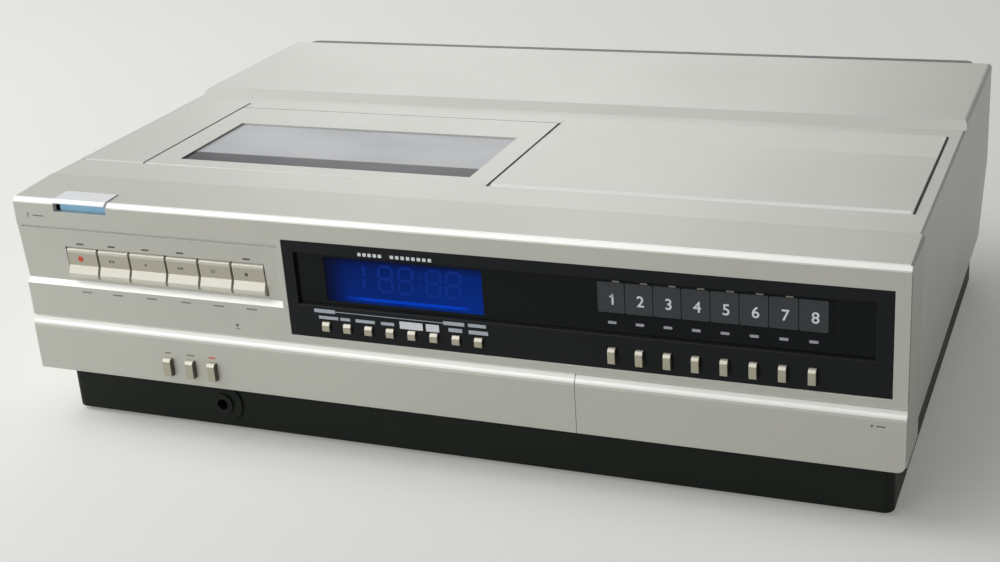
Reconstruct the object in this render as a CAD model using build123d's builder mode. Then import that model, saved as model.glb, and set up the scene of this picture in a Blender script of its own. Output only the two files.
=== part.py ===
from build123d import *
from math import acos, atan2, cos, degrees, hypot, radians, sin
import os

os.makedirs("parts", exist_ok=True)

# A top-loading video cassette recorder, in millimetres.
# Places are given across from the left side, back from the front face
# and up from the foot of the silver front.

# Case
case_width = 480.0
case_depth = 322.0
front_height = 101.0
plinth_height = 32.0
foot_height = 2.0
top_band_rise = 1.7
rear_rise = 3.5
ramp_start = 196.0
ramp_end = 204.0
band_depth = 37.0
moulded_wall = 3.0
cover_sheet = 2.0
cover_inset = 0.6
cover_tuck = 3.0
cover_drop = 5.0
crease_height = 45.0
cover_corner = 2.5

# Clearances
running_gap = 0.3
seam_gap = 0.3
shaft_gap = 0.1

# Plinth
plinth_inset = 7.0
plinth_front = 14.5
plinth_rear_gap = 6.0
plinth_corner = 5.0
plinth_edge = 1.2
tray_wall = 2.5
tray_rim = 2.5
foot_radius = 10.0
foot_inset = 42.0
vent_from_right = 110.0
vent_from_front = 140.0
vent_slot = (34.0, 4.0)
vent_pitch = (44.0, 14.0)
vent_rows = 7
vent_columns = 4

# Silver front
lower_step = 1.5
nose_low = 25.8
nose_high = 28.9
nose_round = 0.7
cove_depth = 1.2
cove_height = 30.9
bevel = 2.3
section_edge = 162.0
ledge_height = 53.7
ledge_depth = 2.6
ledge_nose = 51.2
groove_height = 85.2
groove_size = 0.8

# Window
window_left = 165.0
window_from_right = 6.8
window_low = 36.4
window_high = 89.5
window_thick = 5.0
window_flange = 2.6
recess_left = 171.4
recess_inset = 8.0
recess_low = 54.5
recess_high = 82.9
recess_depth = 2.2
recess_edge = 0.4
display_left = 187.5
display_right = 274.5
display_low = 57.0
display_high = 81.2
label_from_right = 34.5
label_width = 109.5
label_low = 65.5
label_high = 81.5
label_proud = 0.5

# Buttons
channel_count = 8
channel_from_right = 139.0
channel_pitch = 13.73
channel_height = 44.0
channel_size = (3.6, 7.8)
channel_out = 2.6
channel_travel = 2.0
timer_count = 8
timer_first = 186.5
timer_pitch = 12.14
timer_height = 43.2
timer_size = (4.1, 4.9)
timer_out = 1.6
timer_travel = 1.2
push_places = (86.6, 100.7, 114.3)
push_height = 10.0
push_size = (4.6, 10.0)
push_out = 3.0
push_travel = 2.4
button_room = 0.3
button_top_bevel = (1.4, 1.0)
button_flange = 0.9
flange_thick = 1.2
stem_radius = 1.5

# Deck keys
keys_left = 29.5
key_pitch = 20.2
wide_key_extra = 2.8
key_gap = 1.4
key_low = 56.6
key_high = 73.8
key_depth = 10.0
key_out = 0.4
key_face = 1.0
key_bevel = 1.2
key_lip_height = 7.1
key_pivot_depth = 8.5
key_pivot_height = 88.0
key_shaft_radius = 2.0
key_swing = 5.0

# Eject key
eject_left = 26.6
eject_right = 59.7
eject_back = 13.4
eject_low = 99.6
eject_lip = 0.5
eject_slot_low = 94.6
eject_swing_room = 1.7
stripe_left = 32.0
eject_pivot_depth = 12.4
eject_pivot_height = 100.1
eject_pin_radius = 0.8

# Flap and preset
flap_width = 159.0
flap_thick = 4.5
flap_skin = 1.5
flap_corner = 4.0
flap_pivot_depth = 1.5
flap_pivot_height = 1.8
flap_pin_radius = 0.8
flap_ear_inset = 12.0
preset_depth = 15.0
preset_wheel_radius = 9.0
preset_wheel_thick = 2.6
preset_wheel_height = 16.0
preset_wheel_sunk = 4.3
preset_rod_radius = 1.5

# Lid and cassette carrier
lid_left = 44.6
lid_right = 254.2
lid_front = 62.4
lid_back = 177.6
lid_gap = 0.4
lid_side_gap = 1.2
lid_thick = 3.0
lid_barrel = 5.0
lid_lift = 0.3
lid_edge = 0.4
lid_swing = 22.0
pane_left = 61.5
pane_right = 240.5
pane_front = 73.0
pane_back = 143.0
pane_thick = 1.2
pane_depth = 0.8
pane_ledge = 3.0
cassette_width = 156.0
cassette_depth = 96.0
cassette_thick = 25.0
cassette_slack = 1.0
carrier_sheet = 1.2
carrier_lip = 7.0
carrier_mouth = 3.1
hinge_pin_radius = 1.2
hinge_pin_length = 12.0

# Raised panels and louvres of the top
panel_rise = 0.9
panel_bevel = 2.2
panel_flat = 0.8
strip_rise = 0.5
groove_width = 1.2
groove_cut = 0.9
panel_front = 62.0
panel_back = 184.0
panel_from_right = 9.0
strip_left = 3.6
louvre_front = 146.0
louvre_back = 182.0
louvre_count = 16
louvre_groove = (1.5, 0.5)

# Deck mechanism, placed from the head drum
deck_height = 58.0
deck_sheet = 1.5
deck_left = 34.0
deck_right = 266.0
deck_front = 52.0
deck_rear_gap = 10.0
reel_spacing = 72.0
reel_depth = 118.0
reel_radius = 20.0
drum_radius = 37.2
drum_across = 140.0
drum_rear_gap = 76.0
lower_drum_height = 16.0
upper_drum_height = 20.0
drum_slit = 0.4
ring_inner = 48.0
ring_outer = 62.0
ring_thick = 5.0
ring_lift = 4.0
capstan_offset = (74.0, -62.0)
capstan_radius = 2.0
capstan_top = 32.0
flywheel_radius = 30.0
flywheel_thick = 8.0
flywheel_drop = 22.0
motor_offset = (100.0, 20.0)
motor_radius = 18.0
pulley_radius = 8.0
belt_thick = 1.2
belt_width = 4.0
pinch_offset = (104.0, -48.0)
pinch_arm_length = 24.0
pinch_roller_radius = 8.0
pinch_swing = 24.0
guide_offsets = ((-76.0, -60.0), (-60.0, -64.0), (56.0, -70.0))
head_offset = (90.0, -69.0)
head_size = (12.0, 10.0)
guide_height = 26.0

# Boards
board_thick = 1.6
board_side_gap = 18.0
board_deck_gap = 12.0
board_front_edge = 60.0
board_rear_gap = 96.0
board_post_inset = 6.0
board_lift = 8.0
switch_face = 12.4
switch_half = 3.0
tuner_from_right = 28.0
tuner_front = 78.0
tuner_size = (62.0, 82.0, 22.0)
transformer_from_right = 28.0
transformer_rear_gap = 22.0
transformer_foot = (68.0, 56.0)
transformer_tall = 48.0
winding_out = 4.0

# Rear
rear_step = 8.0
rear_inset = 12.0
rear_corner = 6.0
rear_strip_drop = 0.6
socket_plate = ((60.0, 236.0), (36.0, 72.0))
socket_height = 54.0
socket_reach = 5.0
aerial_places = (78.0, 104.0)
aerial_radius = 4.75
phono_places = (136.0, 158.0, 180.0, 202.0)
phono_radius = 4.15
cord_from_right = 50.0
cord_height = 20.0
rear_vents_from_right = 130.0
rear_vent_height = 56.0
screw_radius = 3.6
jack_place = (107.6, -17.5)
jack_bore = 3.2
jack_body = 5.0
jack_ring = 11.5

silver_z = foot_height + plinth_height
front_reach = lower_step + push_out
back_reach = rear_step + socket_reach
front_y = -(case_depth + back_reach - front_reach) / 2
top_height = front_height + top_band_rise
rear_height = top_height + rear_rise
far = 10.0


def across(place):
    return place - case_width / 2


def back(place):
    return front_y + place


def up(place):
    return silver_z + place


def front_plane(place):
    return Plane.XZ.offset(-back(place))


def block(x_range, depth_range, height_range, mode=Mode.ADD):
    x0, x1 = x_range
    d0, d1 = depth_range
    h0, h1 = height_range
    with Locations((across((x0 + x1) / 2), back((d0 + d1) / 2), up((h0 + h1) / 2))):
        Box(x1 - x0, d1 - d0, h1 - h0, mode=mode)


def side_prism(x_range, outline, mode=Mode.ADD):
    with BuildSketch(Plane.YZ.offset(across(x_range[0]))) as section:
        with BuildLine():
            Polyline(*[(back(d), up(h)) for d, h in outline], close=True)
        make_face()
    extrude(section.sketch, amount=x_range[1] - x_range[0], mode=mode)


def post(place, radius, height_range, mode=Mode.ADD):
    h0, h1 = height_range
    with Locations((across(place[0]), back(place[1]), up((h0 + h1) / 2))):
        Cylinder(radius, h1 - h0, mode=mode)


def cross_rod(x_range, place, radius, mode=Mode.ADD):
    middle = (across((x_range[0] + x_range[1]) / 2), back(place[0]), up(place[1]))
    with Locations(Location(middle, (0, 90, 0))):
        Cylinder(radius, x_range[1] - x_range[0], mode=mode)


def depth_rod(place, depth_range, radius, mode=Mode.ADD):
    middle = (across(place[0]), back((depth_range[0] + depth_range[1]) / 2), up(place[1]))
    with Locations(Location(middle, (90, 0, 0))):
        Cylinder(radius, depth_range[1] - depth_range[0], mode=mode)


def save(builder, name):
    builder.part.label = name
    export_step(builder.part, f"parts/{name}.step")
    print(name, round(builder.part.volume))


# Places worked out from the sizes
plinth_back = case_depth - plinth_rear_gap
window_right = case_width - window_from_right
recess_right = window_right - recess_inset
label_right = case_width - label_from_right
label_left = label_right - label_width
channel_first = case_width - channel_from_right
flap_left = case_width - flap_width
panel_right = case_width - panel_from_right
rear_face = case_depth + rear_step
deck_back = case_depth - deck_rear_gap
drum_place = (drum_across, case_depth - drum_rear_gap)


def from_drum(offset):
    return (drum_place[0] + offset[0], drum_place[1] + offset[1])


capstan_place = from_drum(capstan_offset)
motor_place = from_drum(motor_offset)
pinch_pivot = from_drum(pinch_offset)
floor_height = -plinth_height + tray_wall
deck_low = deck_height - deck_sheet
window_back = window_thick
flange_front = moulded_wall
lid_top = top_height + lid_lift
lid_low = lid_top - lid_thick
hinge_depth = lid_back - lid_barrel
hinge_height = lid_top - lid_barrel
carrier_centre = (pane_left + pane_right) / 2
carrier_half = (cassette_width + 1.5 * cassette_slack) / 2
carrier_back = hinge_depth - lid_barrel - running_gap
carrier_front = carrier_back - carrier_sheet - cassette_slack - cassette_depth - carrier_mouth
slot_top = lid_low - carrier_sheet
slot_low = slot_top - cassette_thick - cassette_slack
board_front = switch_face + 3.6
supply_place = (carrier_centre - reel_spacing / 2, reel_depth)
takeup_place = (carrier_centre + reel_spacing / 2, reel_depth)
channel_places = [channel_first + channel_pitch * i for i in range(channel_count)]
timer_places = [timer_first + timer_pitch * i for i in range(timer_count)]
key_widths = [key_pitch, key_pitch, key_pitch + wide_key_extra, key_pitch, key_pitch, key_pitch]
key_drop = (key_pivot_depth + key_out) * sin(radians(key_swing))
key_starts = [keys_left + sum(key_widths[:i]) for i in range(len(key_widths))]
keys_right = key_starts[-1] + key_widths[-1]
deck_posts = [(deck_left + 10, deck_front + 8), (deck_right - 10, deck_front + 8),
              (deck_left + 10, deck_back - 10), (deck_right - 10, deck_back - 10)]
board_range = ((deck_right + board_deck_gap, case_width - board_side_gap),
               (board_front_edge, case_depth - board_rear_gap))
board_posts = [(x, d) for x in (board_range[0][0] + board_post_inset, board_range[0][1] - board_post_inset)
               for d in (board_range[1][0] + board_post_inset, board_range[1][1] - board_post_inset)]
board_height = floor_height + board_lift
board_top = board_height + board_thick

# Base tray, the black plinth
with BuildPart() as base_tray:
    with BuildSketch(Plane.XY.offset(foot_height)):
        with Locations((0, back((plinth_front + plinth_back) / 2))):
            RectangleRounded(case_width - 2 * plinth_inset, plinth_back - plinth_front, plinth_corner)
    extrude(amount=plinth_height + tray_rim)
    fillet(base_tray.faces().sort_by(Axis.Z)[0].edges(), plinth_edge)
    rim_edge = cover_inset + cover_tuck + cover_sheet + running_gap
    block((rim_edge, case_width - rim_edge), (plinth_front + tray_wall, plinth_back), (0, tray_rim))
    block((plinth_inset + tray_wall, case_width - plinth_inset - tray_wall),
          (plinth_front + tray_wall, plinth_back - tray_wall), (floor_height, tray_rim + far), Mode.SUBTRACT)
    for place in deck_posts:
        post(place, 5.0, (floor_height, deck_low))
    for place in board_posts:
        post(place, 4.0, (floor_height, board_height))
    with Locations((across(case_width - vent_from_right), back(vent_from_front), up(floor_height))):
        with GridLocations(*vent_pitch, vent_columns, vent_rows):
            Box(*vent_slot, 4 * tray_wall, mode=Mode.SUBTRACT)
    depth_rod(jack_place, (plinth_front - far, plinth_front + 3 * tray_wall), jack_body + shaft_gap,
              Mode.SUBTRACT)
save(base_tray, "base_tray")

# Rubber feet
with BuildPart() as rubber_feet:
    for x in (foot_inset, case_width - foot_inset):
        for d in (plinth_front + foot_inset / 2, plinth_back - foot_inset / 2):
            with Locations((across(x), back(d), foot_height / 2)):
                Cone(foot_radius - 1, foot_radius, foot_height)
save(rubber_feet, "rubber_feet")

# Silver front moulding: one section drawn from the side and hollowed from behind
nose_outline = [(-lower_step, 0), (-lower_step, nose_low), (-lower_step + 0.5, nose_high - nose_round),
                (-lower_step + 1.3, nose_high), (cove_depth, cove_height)]
front_outline = [*nose_outline, (0, cove_height + 1.2),
                 (0, front_height - bevel), (bevel * 0.9, front_height),
                 (band_depth, top_height), (band_depth, 0)]
inside_top = top_height - moulded_wall
inside_outline = [(moulded_wall - lower_step, tray_rim), (moulded_wall - lower_step, nose_high),
                  (moulded_wall, cove_height + 1.2), (moulded_wall, front_height - moulded_wall),
                  (band_depth + 1, inside_top), (band_depth + 1, tray_rim)]
pad = ledge_depth + 0.2
padded_outline = [(moulded_wall - lower_step, tray_rim), (moulded_wall - lower_step, nose_high),
                  (moulded_wall, cove_height + 1.2), (moulded_wall, ledge_nose - 4),
                  (moulded_wall + pad, ledge_nose), (moulded_wall + pad, ledge_height + 2),
                  (moulded_wall, groove_height + 2), (moulded_wall, front_height - moulded_wall),
                  (band_depth + 1, inside_top), (band_depth + 1, tray_rim)]
key_slot = (keys_left - key_gap / 2, keys_right - key_gap / 2)
eject_slot = (eject_left - running_gap, eject_right + running_gap)
with BuildPart() as front_panel:
    side_prism((0, case_width), front_outline)
    side_prism((moulded_wall, section_edge - 1), padded_outline, Mode.SUBTRACT)
    side_prism((section_edge - 1, case_width - moulded_wall), inside_outline, Mode.SUBTRACT)
    block((moulded_wall, case_width - moulded_wall), (plinth_front - seam_gap, band_depth + 1), (-1, tray_rim),
          Mode.SUBTRACT)
    side_prism((-1, section_edge), [(-far, ledge_nose), (0, ledge_nose), (ledge_depth, ledge_height),
                                    (0.4, groove_height), (0, groove_height + 1),
                                    (-far, groove_height + 1)], Mode.SUBTRACT)
    block((3, section_edge), (-1, groove_size + 0.4), (groove_height - groove_size, groove_height),
          Mode.SUBTRACT)
    block((window_left, window_right), (-1, moulded_wall + 1), (window_low, window_high), Mode.SUBTRACT)
    block(key_slot, (-far, moulded_wall + pad + 1), (key_low - key_drop, key_high + 0.5),
          Mode.SUBTRACT)
    for place in push_places:
        block((place - push_size[0] / 2 - button_room, place + push_size[0] / 2 + button_room),
              (-far, moulded_wall), (push_height - push_size[1] / 2 - button_room,
                                     push_height + push_size[1] / 2 + button_room), Mode.SUBTRACT)
    block((flap_left, case_width + 1), (-far, flap_thick - lower_step + 1.2), (-1, cove_height + seam_gap),
          Mode.SUBTRACT)
    block(eject_slot, (-far, eject_back + 1), (eject_low - eject_swing_room, top_height + far),
          Mode.SUBTRACT)
    block(eject_slot, (-far, moulded_wall + 0.1), (eject_slot_low, eject_low), Mode.SUBTRACT)
    cross_rod((eject_left - 2.5, eject_right + 2.5), (eject_pivot_depth, eject_pivot_height),
              eject_pin_radius + shaft_gap, Mode.SUBTRACT)
    # Ears that the key shaft and the flap turn on
    for x in (keys_left - 5, keys_right + 2):
        block((x, x + 3), (moulded_wall - 0.5, key_pivot_depth + 4),
              (key_pivot_height - 5, key_pivot_height + 4))
        cross_rod((x - 1, x + 4), (key_pivot_depth, key_pivot_height), key_shaft_radius, Mode.SUBTRACT)
    for x in (flap_left + flap_ear_inset, case_width - flap_ear_inset):
        cross_rod((x - 1.5, x + 1.5), (flap_pivot_depth, flap_pivot_height), 1.4)
        block((x - 1.5, x + 1.5), (flap_pivot_depth, flap_thick + 3), (0.8, 2.8))
        cross_rod((x - 4, x + 4), (flap_pivot_depth, flap_pivot_height), flap_pin_radius)
save(front_panel, "front_panel")


# Top cover: a folded sheet with a raised rear part
def cover_block(inset, overrun):
    half = case_width / 2 - cover_inset - inset
    with BuildPart() as body:
        with BuildSketch(front_plane(band_depth + seam_gap - overrun)) as section:
            with BuildLine():
                Polyline((-half + cover_tuck, up(-cover_drop - overrun)), (-half, up(crease_height)),
                         (-half, up(rear_height - inset)), (half, up(rear_height - inset)),
                         (half, up(crease_height)), (half - cover_tuck, up(-cover_drop - overrun)),
                         close=True)
            make_face()
            fillet(section.vertices().group_by(Axis.Y)[-1], cover_corner - min(inset, cover_corner - 0.5))
        extrude(section.sketch, amount=-(case_depth - band_depth - seam_gap + 2 * overrun))
        side_prism((-far, case_width + far),
                   [(0, top_height - inset), (ramp_start, top_height - inset),
                    (ramp_end, rear_height - inset), (ramp_end, rear_height + far),
                    (0, rear_height + far)], Mode.SUBTRACT)
    return body.part


lid_hole = ((lid_left - lid_side_gap, lid_right + lid_side_gap), (lid_front - lid_gap, lid_back + lid_gap))
panel_left = lid_hole[0][1] + panel_flat
with BuildPart() as top_cover:
    add(cover_block(0, 0))
    add(cover_block(cover_sheet, 1), mode=Mode.SUBTRACT)
    side_prism((panel_left, panel_right),
               [(panel_front, top_height - 1), (panel_front, top_height),
                (panel_front + panel_bevel, top_height + panel_rise),
                (panel_back - 1, top_height + panel_rise), (panel_back, top_height), (panel_back, top_height - 1)])
    side_prism((strip_left, lid_hole[0][0]),
               [(panel_front, top_height - 1), (panel_front, top_height),
                (panel_front + 1, top_height + strip_rise), (panel_back - 1, top_height + strip_rise),
                (panel_back, top_height), (panel_back, top_height - 1)])
    for x in (strip_left - groove_width, panel_right):
        block((x, x + groove_width), (panel_front, panel_back), (top_height - groove_cut, top_height + far),
              Mode.SUBTRACT)
    block(*lid_hole, (top_height - 2 * cover_sheet, top_height + far), Mode.SUBTRACT)
    louvre_pitch = (louvre_back - louvre_front) / louvre_count
    panel_top = top_height + panel_rise
    for i in range(louvre_count):
        d = louvre_front + louvre_pitch * i
        side_prism((panel_left - 0.1, panel_right + 0.1),
                   [(d, panel_top), (d + louvre_groove[0], panel_top),
                    (d + louvre_groove[0] * 0.7, panel_top - louvre_groove[1])], Mode.SUBTRACT)
save(top_cover, "top_cover")

# Black rear panel
rear_low = -plinth_height + 6
rear_high = rear_height - cover_sheet - 2.0
with BuildPart() as rear_panel:
    with BuildSketch(Plane.XY.offset(up(rear_low))) as rear_outline:
        with Locations((0, back((plinth_back + running_gap + rear_face) / 2))):
            Rectangle(case_width - 2 * rear_inset, rear_face - plinth_back - running_gap)
        fillet(rear_outline.vertices().group_by(Axis.Y)[-1], rear_corner)
    extrude(amount=rear_height - rear_strip_drop - rear_low)
    block((0, case_width), (plinth_back, case_depth + seam_gap), (rear_high, rear_height + far),
          Mode.SUBTRACT)
    block((rear_inset + tray_wall, case_width - rear_inset - tray_wall),
          (plinth_back - 1, rear_face - tray_wall), (rear_low + tray_wall, rear_high - tray_wall),
          Mode.SUBTRACT)
    block((cover_inset + cover_sheet + cover_tuck + 0.5, rear_inset + 1), (case_depth - 5, case_depth - 3),
          (tray_rim + 1, rear_high - 4))
    block((case_width - rear_inset - 1, case_width - cover_inset - cover_sheet - cover_tuck - 0.5),
          (case_depth - 5, case_depth - 3), (tray_rim + 1, rear_high - 4))
    block(socket_plate[0], (rear_face - 1, rear_face + 1), socket_plate[1], Mode.SUBTRACT)
    cord_place = (case_width - cord_from_right, cord_height)
    depth_rod(cord_place, (rear_face - 1, rear_face + 3), 7)
    depth_rod(cord_place, (case_depth, rear_face + far), 3.5, Mode.SUBTRACT)
    with Locations((across(case_width - rear_vents_from_right), back(rear_face), up(rear_vent_height))):
        with GridLocations(9, 1, 12, 1):
            Box(3, 4 * tray_wall, 34, mode=Mode.SUBTRACT)
save(rear_panel, "rear_panel")

# Case screws: four behind, four below
with BuildPart() as case_screws:
    for x in (rear_inset + 22, case_width - rear_inset - 22):
        for h in (rear_low + 14, rear_high - 12):
            depth_rod((x, h), (rear_face, rear_face + 1.6), screw_radius)
    screw_heads = case_screws.faces().group_by(Axis.Y)[-1]
    chamfer(screw_heads.edges(), 0.7)
    for x in (plinth_inset + 14, case_width - plinth_inset - 14):
        for d in (plinth_front + 12, plinth_back - 12):
            post((x, d), screw_radius, (-plinth_height - 1.2, -plinth_height))
save(case_screws, "case_screws")

# Black window moulding with its deeper upper part
with BuildPart() as window_panel:
    block((window_left + 0.2, window_right - 0.2), (0.1, window_back), (window_low + 0.2, window_high - 0.2))
    block((window_left - window_flange, window_right + window_flange),
          (flange_front + 0.1, flange_front + 1.6), (window_low - 1.8, window_high + window_flange))
    block((recess_left, recess_right), (-far, recess_depth), (recess_low, recess_high), Mode.SUBTRACT)
    chamfer(window_panel.faces().filter_by(Axis.Y).group_by(Axis.Y)[0].edges().filter_by(Axis.X).group_by(
        Axis.Z)[1:-1], recess_edge)
    block((display_left, display_right), (-far, far), (display_low, display_high), Mode.SUBTRACT)
    block((label_left, label_right), (recess_depth - label_proud, recess_depth + 0.2),
          (label_low, label_high))
    for place in channel_places:
        block((place - channel_size[0] / 2 - button_room, place + channel_size[0] / 2 + button_room),
              (-far, far), (channel_height - channel_size[1] / 2 - button_room,
               channel_height + channel_size[1] / 2 + button_room), Mode.SUBTRACT)
    for place in timer_places:
        block((place - timer_size[0] / 2 - button_room, place + timer_size[0] / 2 + button_room), (-far, far),
              (timer_height - timer_size[1] / 2 - button_room,
               timer_height + timer_size[1] / 2 + button_room), Mode.SUBTRACT)
save(window_panel, "window_panel")

with BuildPart() as display_filter:
    block((display_left + 0.15, display_right - 0.15), (recess_depth + 0.2, window_back),
          (display_low + 0.15, display_high - 0.15))
    block((display_left - 2, display_right + 2), (window_back, window_back + 1.5),
          (display_low - 2, display_high + 2))
save(display_filter, "display_filter")


# Push buttons: a cap with a sloping top edge, a flange that holds it in and a stem to its switch
def button(name, x, height, size, out, travel, wall_front, wall_back):
    half_width = size[0] / 2
    half_height = size[1] / 2
    with BuildPart() as cap:
        block((x - half_width, x + half_width), (wall_front - out, wall_back + button_room),
              (height - half_height, height + half_height))
        front_edges = cap.faces().sort_by(Axis.Y)[0].edges()
        chamfer(front_edges.sort_by(Axis.Z)[-1], *button_top_bevel)
        chamfer(front_edges.sort_by(Axis.Z)[0], 0.4)
        block((x - half_width - button_flange, x + half_width + button_flange),
              (wall_back + button_room, wall_back + button_room + flange_thick),
              (height - half_height - button_flange, height + half_height + button_flange))
        depth_rod((x, height), (wall_back + button_room, switch_face - travel - running_gap), stem_radius)
    save(cap, name)


for number, place in enumerate(channel_places, 1):
    button(f"channel_button_{number}", place, channel_height, channel_size, channel_out,
           channel_travel, 0.1, window_back)
for number, place in enumerate(timer_places, 1):
    button(f"timer_button_{number}", place, timer_height, timer_size, timer_out, timer_travel,
           0.1, window_back)
for name, place in zip(("power_button", "timer_button", "input_button"), push_places):
    button(name, place, push_height, push_size, push_out, push_travel, -lower_step, moulded_wall - lower_step)

# Deck keys: each hangs from the shaft behind the front
key_outline = [(key_depth, key_high), (key_face + key_bevel, key_high), (key_face, key_high - key_bevel),
               (key_face + 0.6, key_low + key_lip_height), (0.1 - key_out, key_low + 2.8),
               (-key_out, key_low + 1.2), (0.8 - key_out, key_low), (key_depth, key_low)]
key_names = ("record_key", "rewind_key", "play_key", "fast_forward_key", "pause_key", "stop_key")
for name, start, width in zip(key_names, key_starts, key_widths):
    with BuildPart() as key:
        ends = (start, start + width - key_gap)
        side_prism(ends, key_outline)
        block((start + 1.5, ends[1] - 1.5), (4.0, key_depth), (key_low + 1.5, key_high - 1.5), Mode.SUBTRACT)
        for x in (start + 2.0, ends[1] - 5.0):
            side_prism((x, x + 3.0),
                       [(key_depth - 3, key_high - 1), (key_depth + 0.5, key_high - 1),
                        (key_pivot_depth + 3, key_pivot_height), (key_pivot_depth - 1.5, key_pivot_height)])
            cross_rod((x, x + 3.0), (key_pivot_depth, key_pivot_height), key_shaft_radius + 1.5)
        cross_rod((start - 1, ends[1] + 1), (key_pivot_depth, key_pivot_height), key_shaft_radius + shaft_gap,
                  Mode.SUBTRACT)
    save(key, name)

with BuildPart() as key_shaft:
    cross_rod((keys_left - 5, keys_right + 5), (key_pivot_depth, key_pivot_height), key_shaft_radius)
save(key_shaft, "key_shaft")

# Eject key: a tab in the top edge with a coloured stripe that shows through the slot below it
with BuildPart() as eject_key:
    side_prism((eject_left, eject_right),
               [(-0.6, eject_low), (-0.6, eject_low + eject_lip), (bevel - 0.4, front_height + 0.6),
                (eject_back, front_height + 1.1), (eject_back, eject_low)])
    side_prism((stripe_left, eject_right - 0.4),
               [(moulded_wall + 0.5, eject_low + 1), (moulded_wall + 2.2, eject_low + 1),
                (moulded_wall + 2.2, eject_slot_low - 1.5), (moulded_wall + 0.5, eject_slot_low - 1.5)])
    cross_rod((eject_left - 2.0, eject_right + 2.0), (eject_pivot_depth, eject_pivot_height),
              eject_pin_radius)
save(eject_key, "eject_key")

# Flap over the tuner preset, with the bright ledge along its top
flap_back = flap_thick - lower_step
with BuildPart() as preset_flap:
    side_prism((flap_left + seam_gap, case_width),
               [*nose_outline, (flap_back - 0.4, cove_height), (flap_back, cove_height - 1), (flap_back, 1.0),
                (flap_back - 1, 0)])
    block((flap_left + 3, case_width - 3), (-lower_step + 2.2, flap_back + 1), (6, nose_low - 2),
          Mode.SUBTRACT)
    lower_right = preset_flap.edges().filter_by(Axis.Y).filter_by_position(Axis.X, across(case_width) - 0.1,
                                                                          across(case_width) + 0.1)
    fillet(lower_right.sort_by(Axis.Z)[0], flap_corner)
    for x in (flap_left + flap_ear_inset, case_width - flap_ear_inset):
        block((x - 2.0, x + 2.0), (flap_skin - lower_step, flap_back + 1), (-1, 5), Mode.SUBTRACT)
        cross_rod((x - 4.5, x + 4.5), (flap_pivot_depth, flap_pivot_height), flap_pin_radius + shaft_gap,
                  Mode.SUBTRACT)
save(preset_flap, "preset_flap")

preset_front = flap_back + 1.2
wheel_centre = (preset_depth + preset_wheel_radius - preset_wheel_sunk, preset_wheel_height)
with BuildPart() as preset_panel:
    block((flap_left + 1.5, case_width - moulded_wall - 0.5), (preset_front, preset_depth + 2),
          (tray_rim + 0.4, cove_height))
    block((flap_left + 3, case_width - moulded_wall - 2), (preset_front - 1, preset_depth),
          (tray_rim + 1.9, cove_height - 1.5), Mode.SUBTRACT)
    for place in channel_places:
        block((place - preset_wheel_thick / 2 - 0.5, place + preset_wheel_thick / 2 + 0.5),
              (preset_depth - 1, preset_depth + 5),
              (wheel_centre[1] - preset_wheel_radius - 0.4, wheel_centre[1] + preset_wheel_radius + 0.4),
              Mode.SUBTRACT)
    for x in (channel_places[0] - 9, channel_places[-1] + 6):
        block((x, x + 3), (preset_depth + 1, wheel_centre[0] + 4), (wheel_centre[1] - 4, wheel_centre[1] + 4))
        cross_rod((x - 1, x + 4), wheel_centre, preset_rod_radius + shaft_gap, Mode.SUBTRACT)
save(preset_panel, "preset_panel")

with BuildPart() as preset_wheels:
    cross_rod((channel_places[0] - 10, channel_places[-1] + 10), wheel_centre, preset_rod_radius)
    for place in channel_places:
        with BuildSketch(Plane.YZ.offset(across(place - preset_wheel_thick / 2))) as wheel_face:
            with Locations((back(wheel_centre[0]), up(wheel_centre[1]))):
                RegularPolygon(preset_wheel_radius, 24)
        extrude(wheel_face.sketch, amount=preset_wheel_thick)
save(preset_wheels, "preset_wheels")

# Cassette lid: a plate with a rolled rear edge that its pins run in
pane_hole = ((pane_left, pane_right), (pane_front, pane_back))
with BuildPart() as cassette_lid:
    block((lid_left, lid_right), (lid_front, hinge_depth), (lid_low, lid_top))
    cross_rod((lid_left, lid_right), (hinge_depth, hinge_height), lid_barrel)
    front_edge = cassette_lid.edges().filter_by(Axis.X).group_by(Axis.Y)[0].sort_by(Axis.Z)[-1]
    chamfer(front_edge, lid_edge)
    block(*pane_hole, (lid_top - pane_depth - pane_thick, lid_top + 1), Mode.SUBTRACT)
    block((pane_left + pane_ledge, pane_right - pane_ledge), (pane_front + pane_ledge, pane_back - pane_ledge),
          (lid_low - 1, lid_top), Mode.SUBTRACT)
    for x in (lid_left, lid_right):
        cross_rod((x - hinge_pin_length / 2, x + hinge_pin_length / 2), (hinge_depth, hinge_height),
                  hinge_pin_radius + shaft_gap, Mode.SUBTRACT)
save(cassette_lid, "cassette_lid")

with BuildPart() as lid_window:
    block((pane_left + 0.15, pane_right - 0.15), (pane_front + 0.15, pane_back - 0.15),
          (lid_top - pane_depth - pane_thick, lid_top - pane_depth))
save(lid_window, "lid_window")

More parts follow.
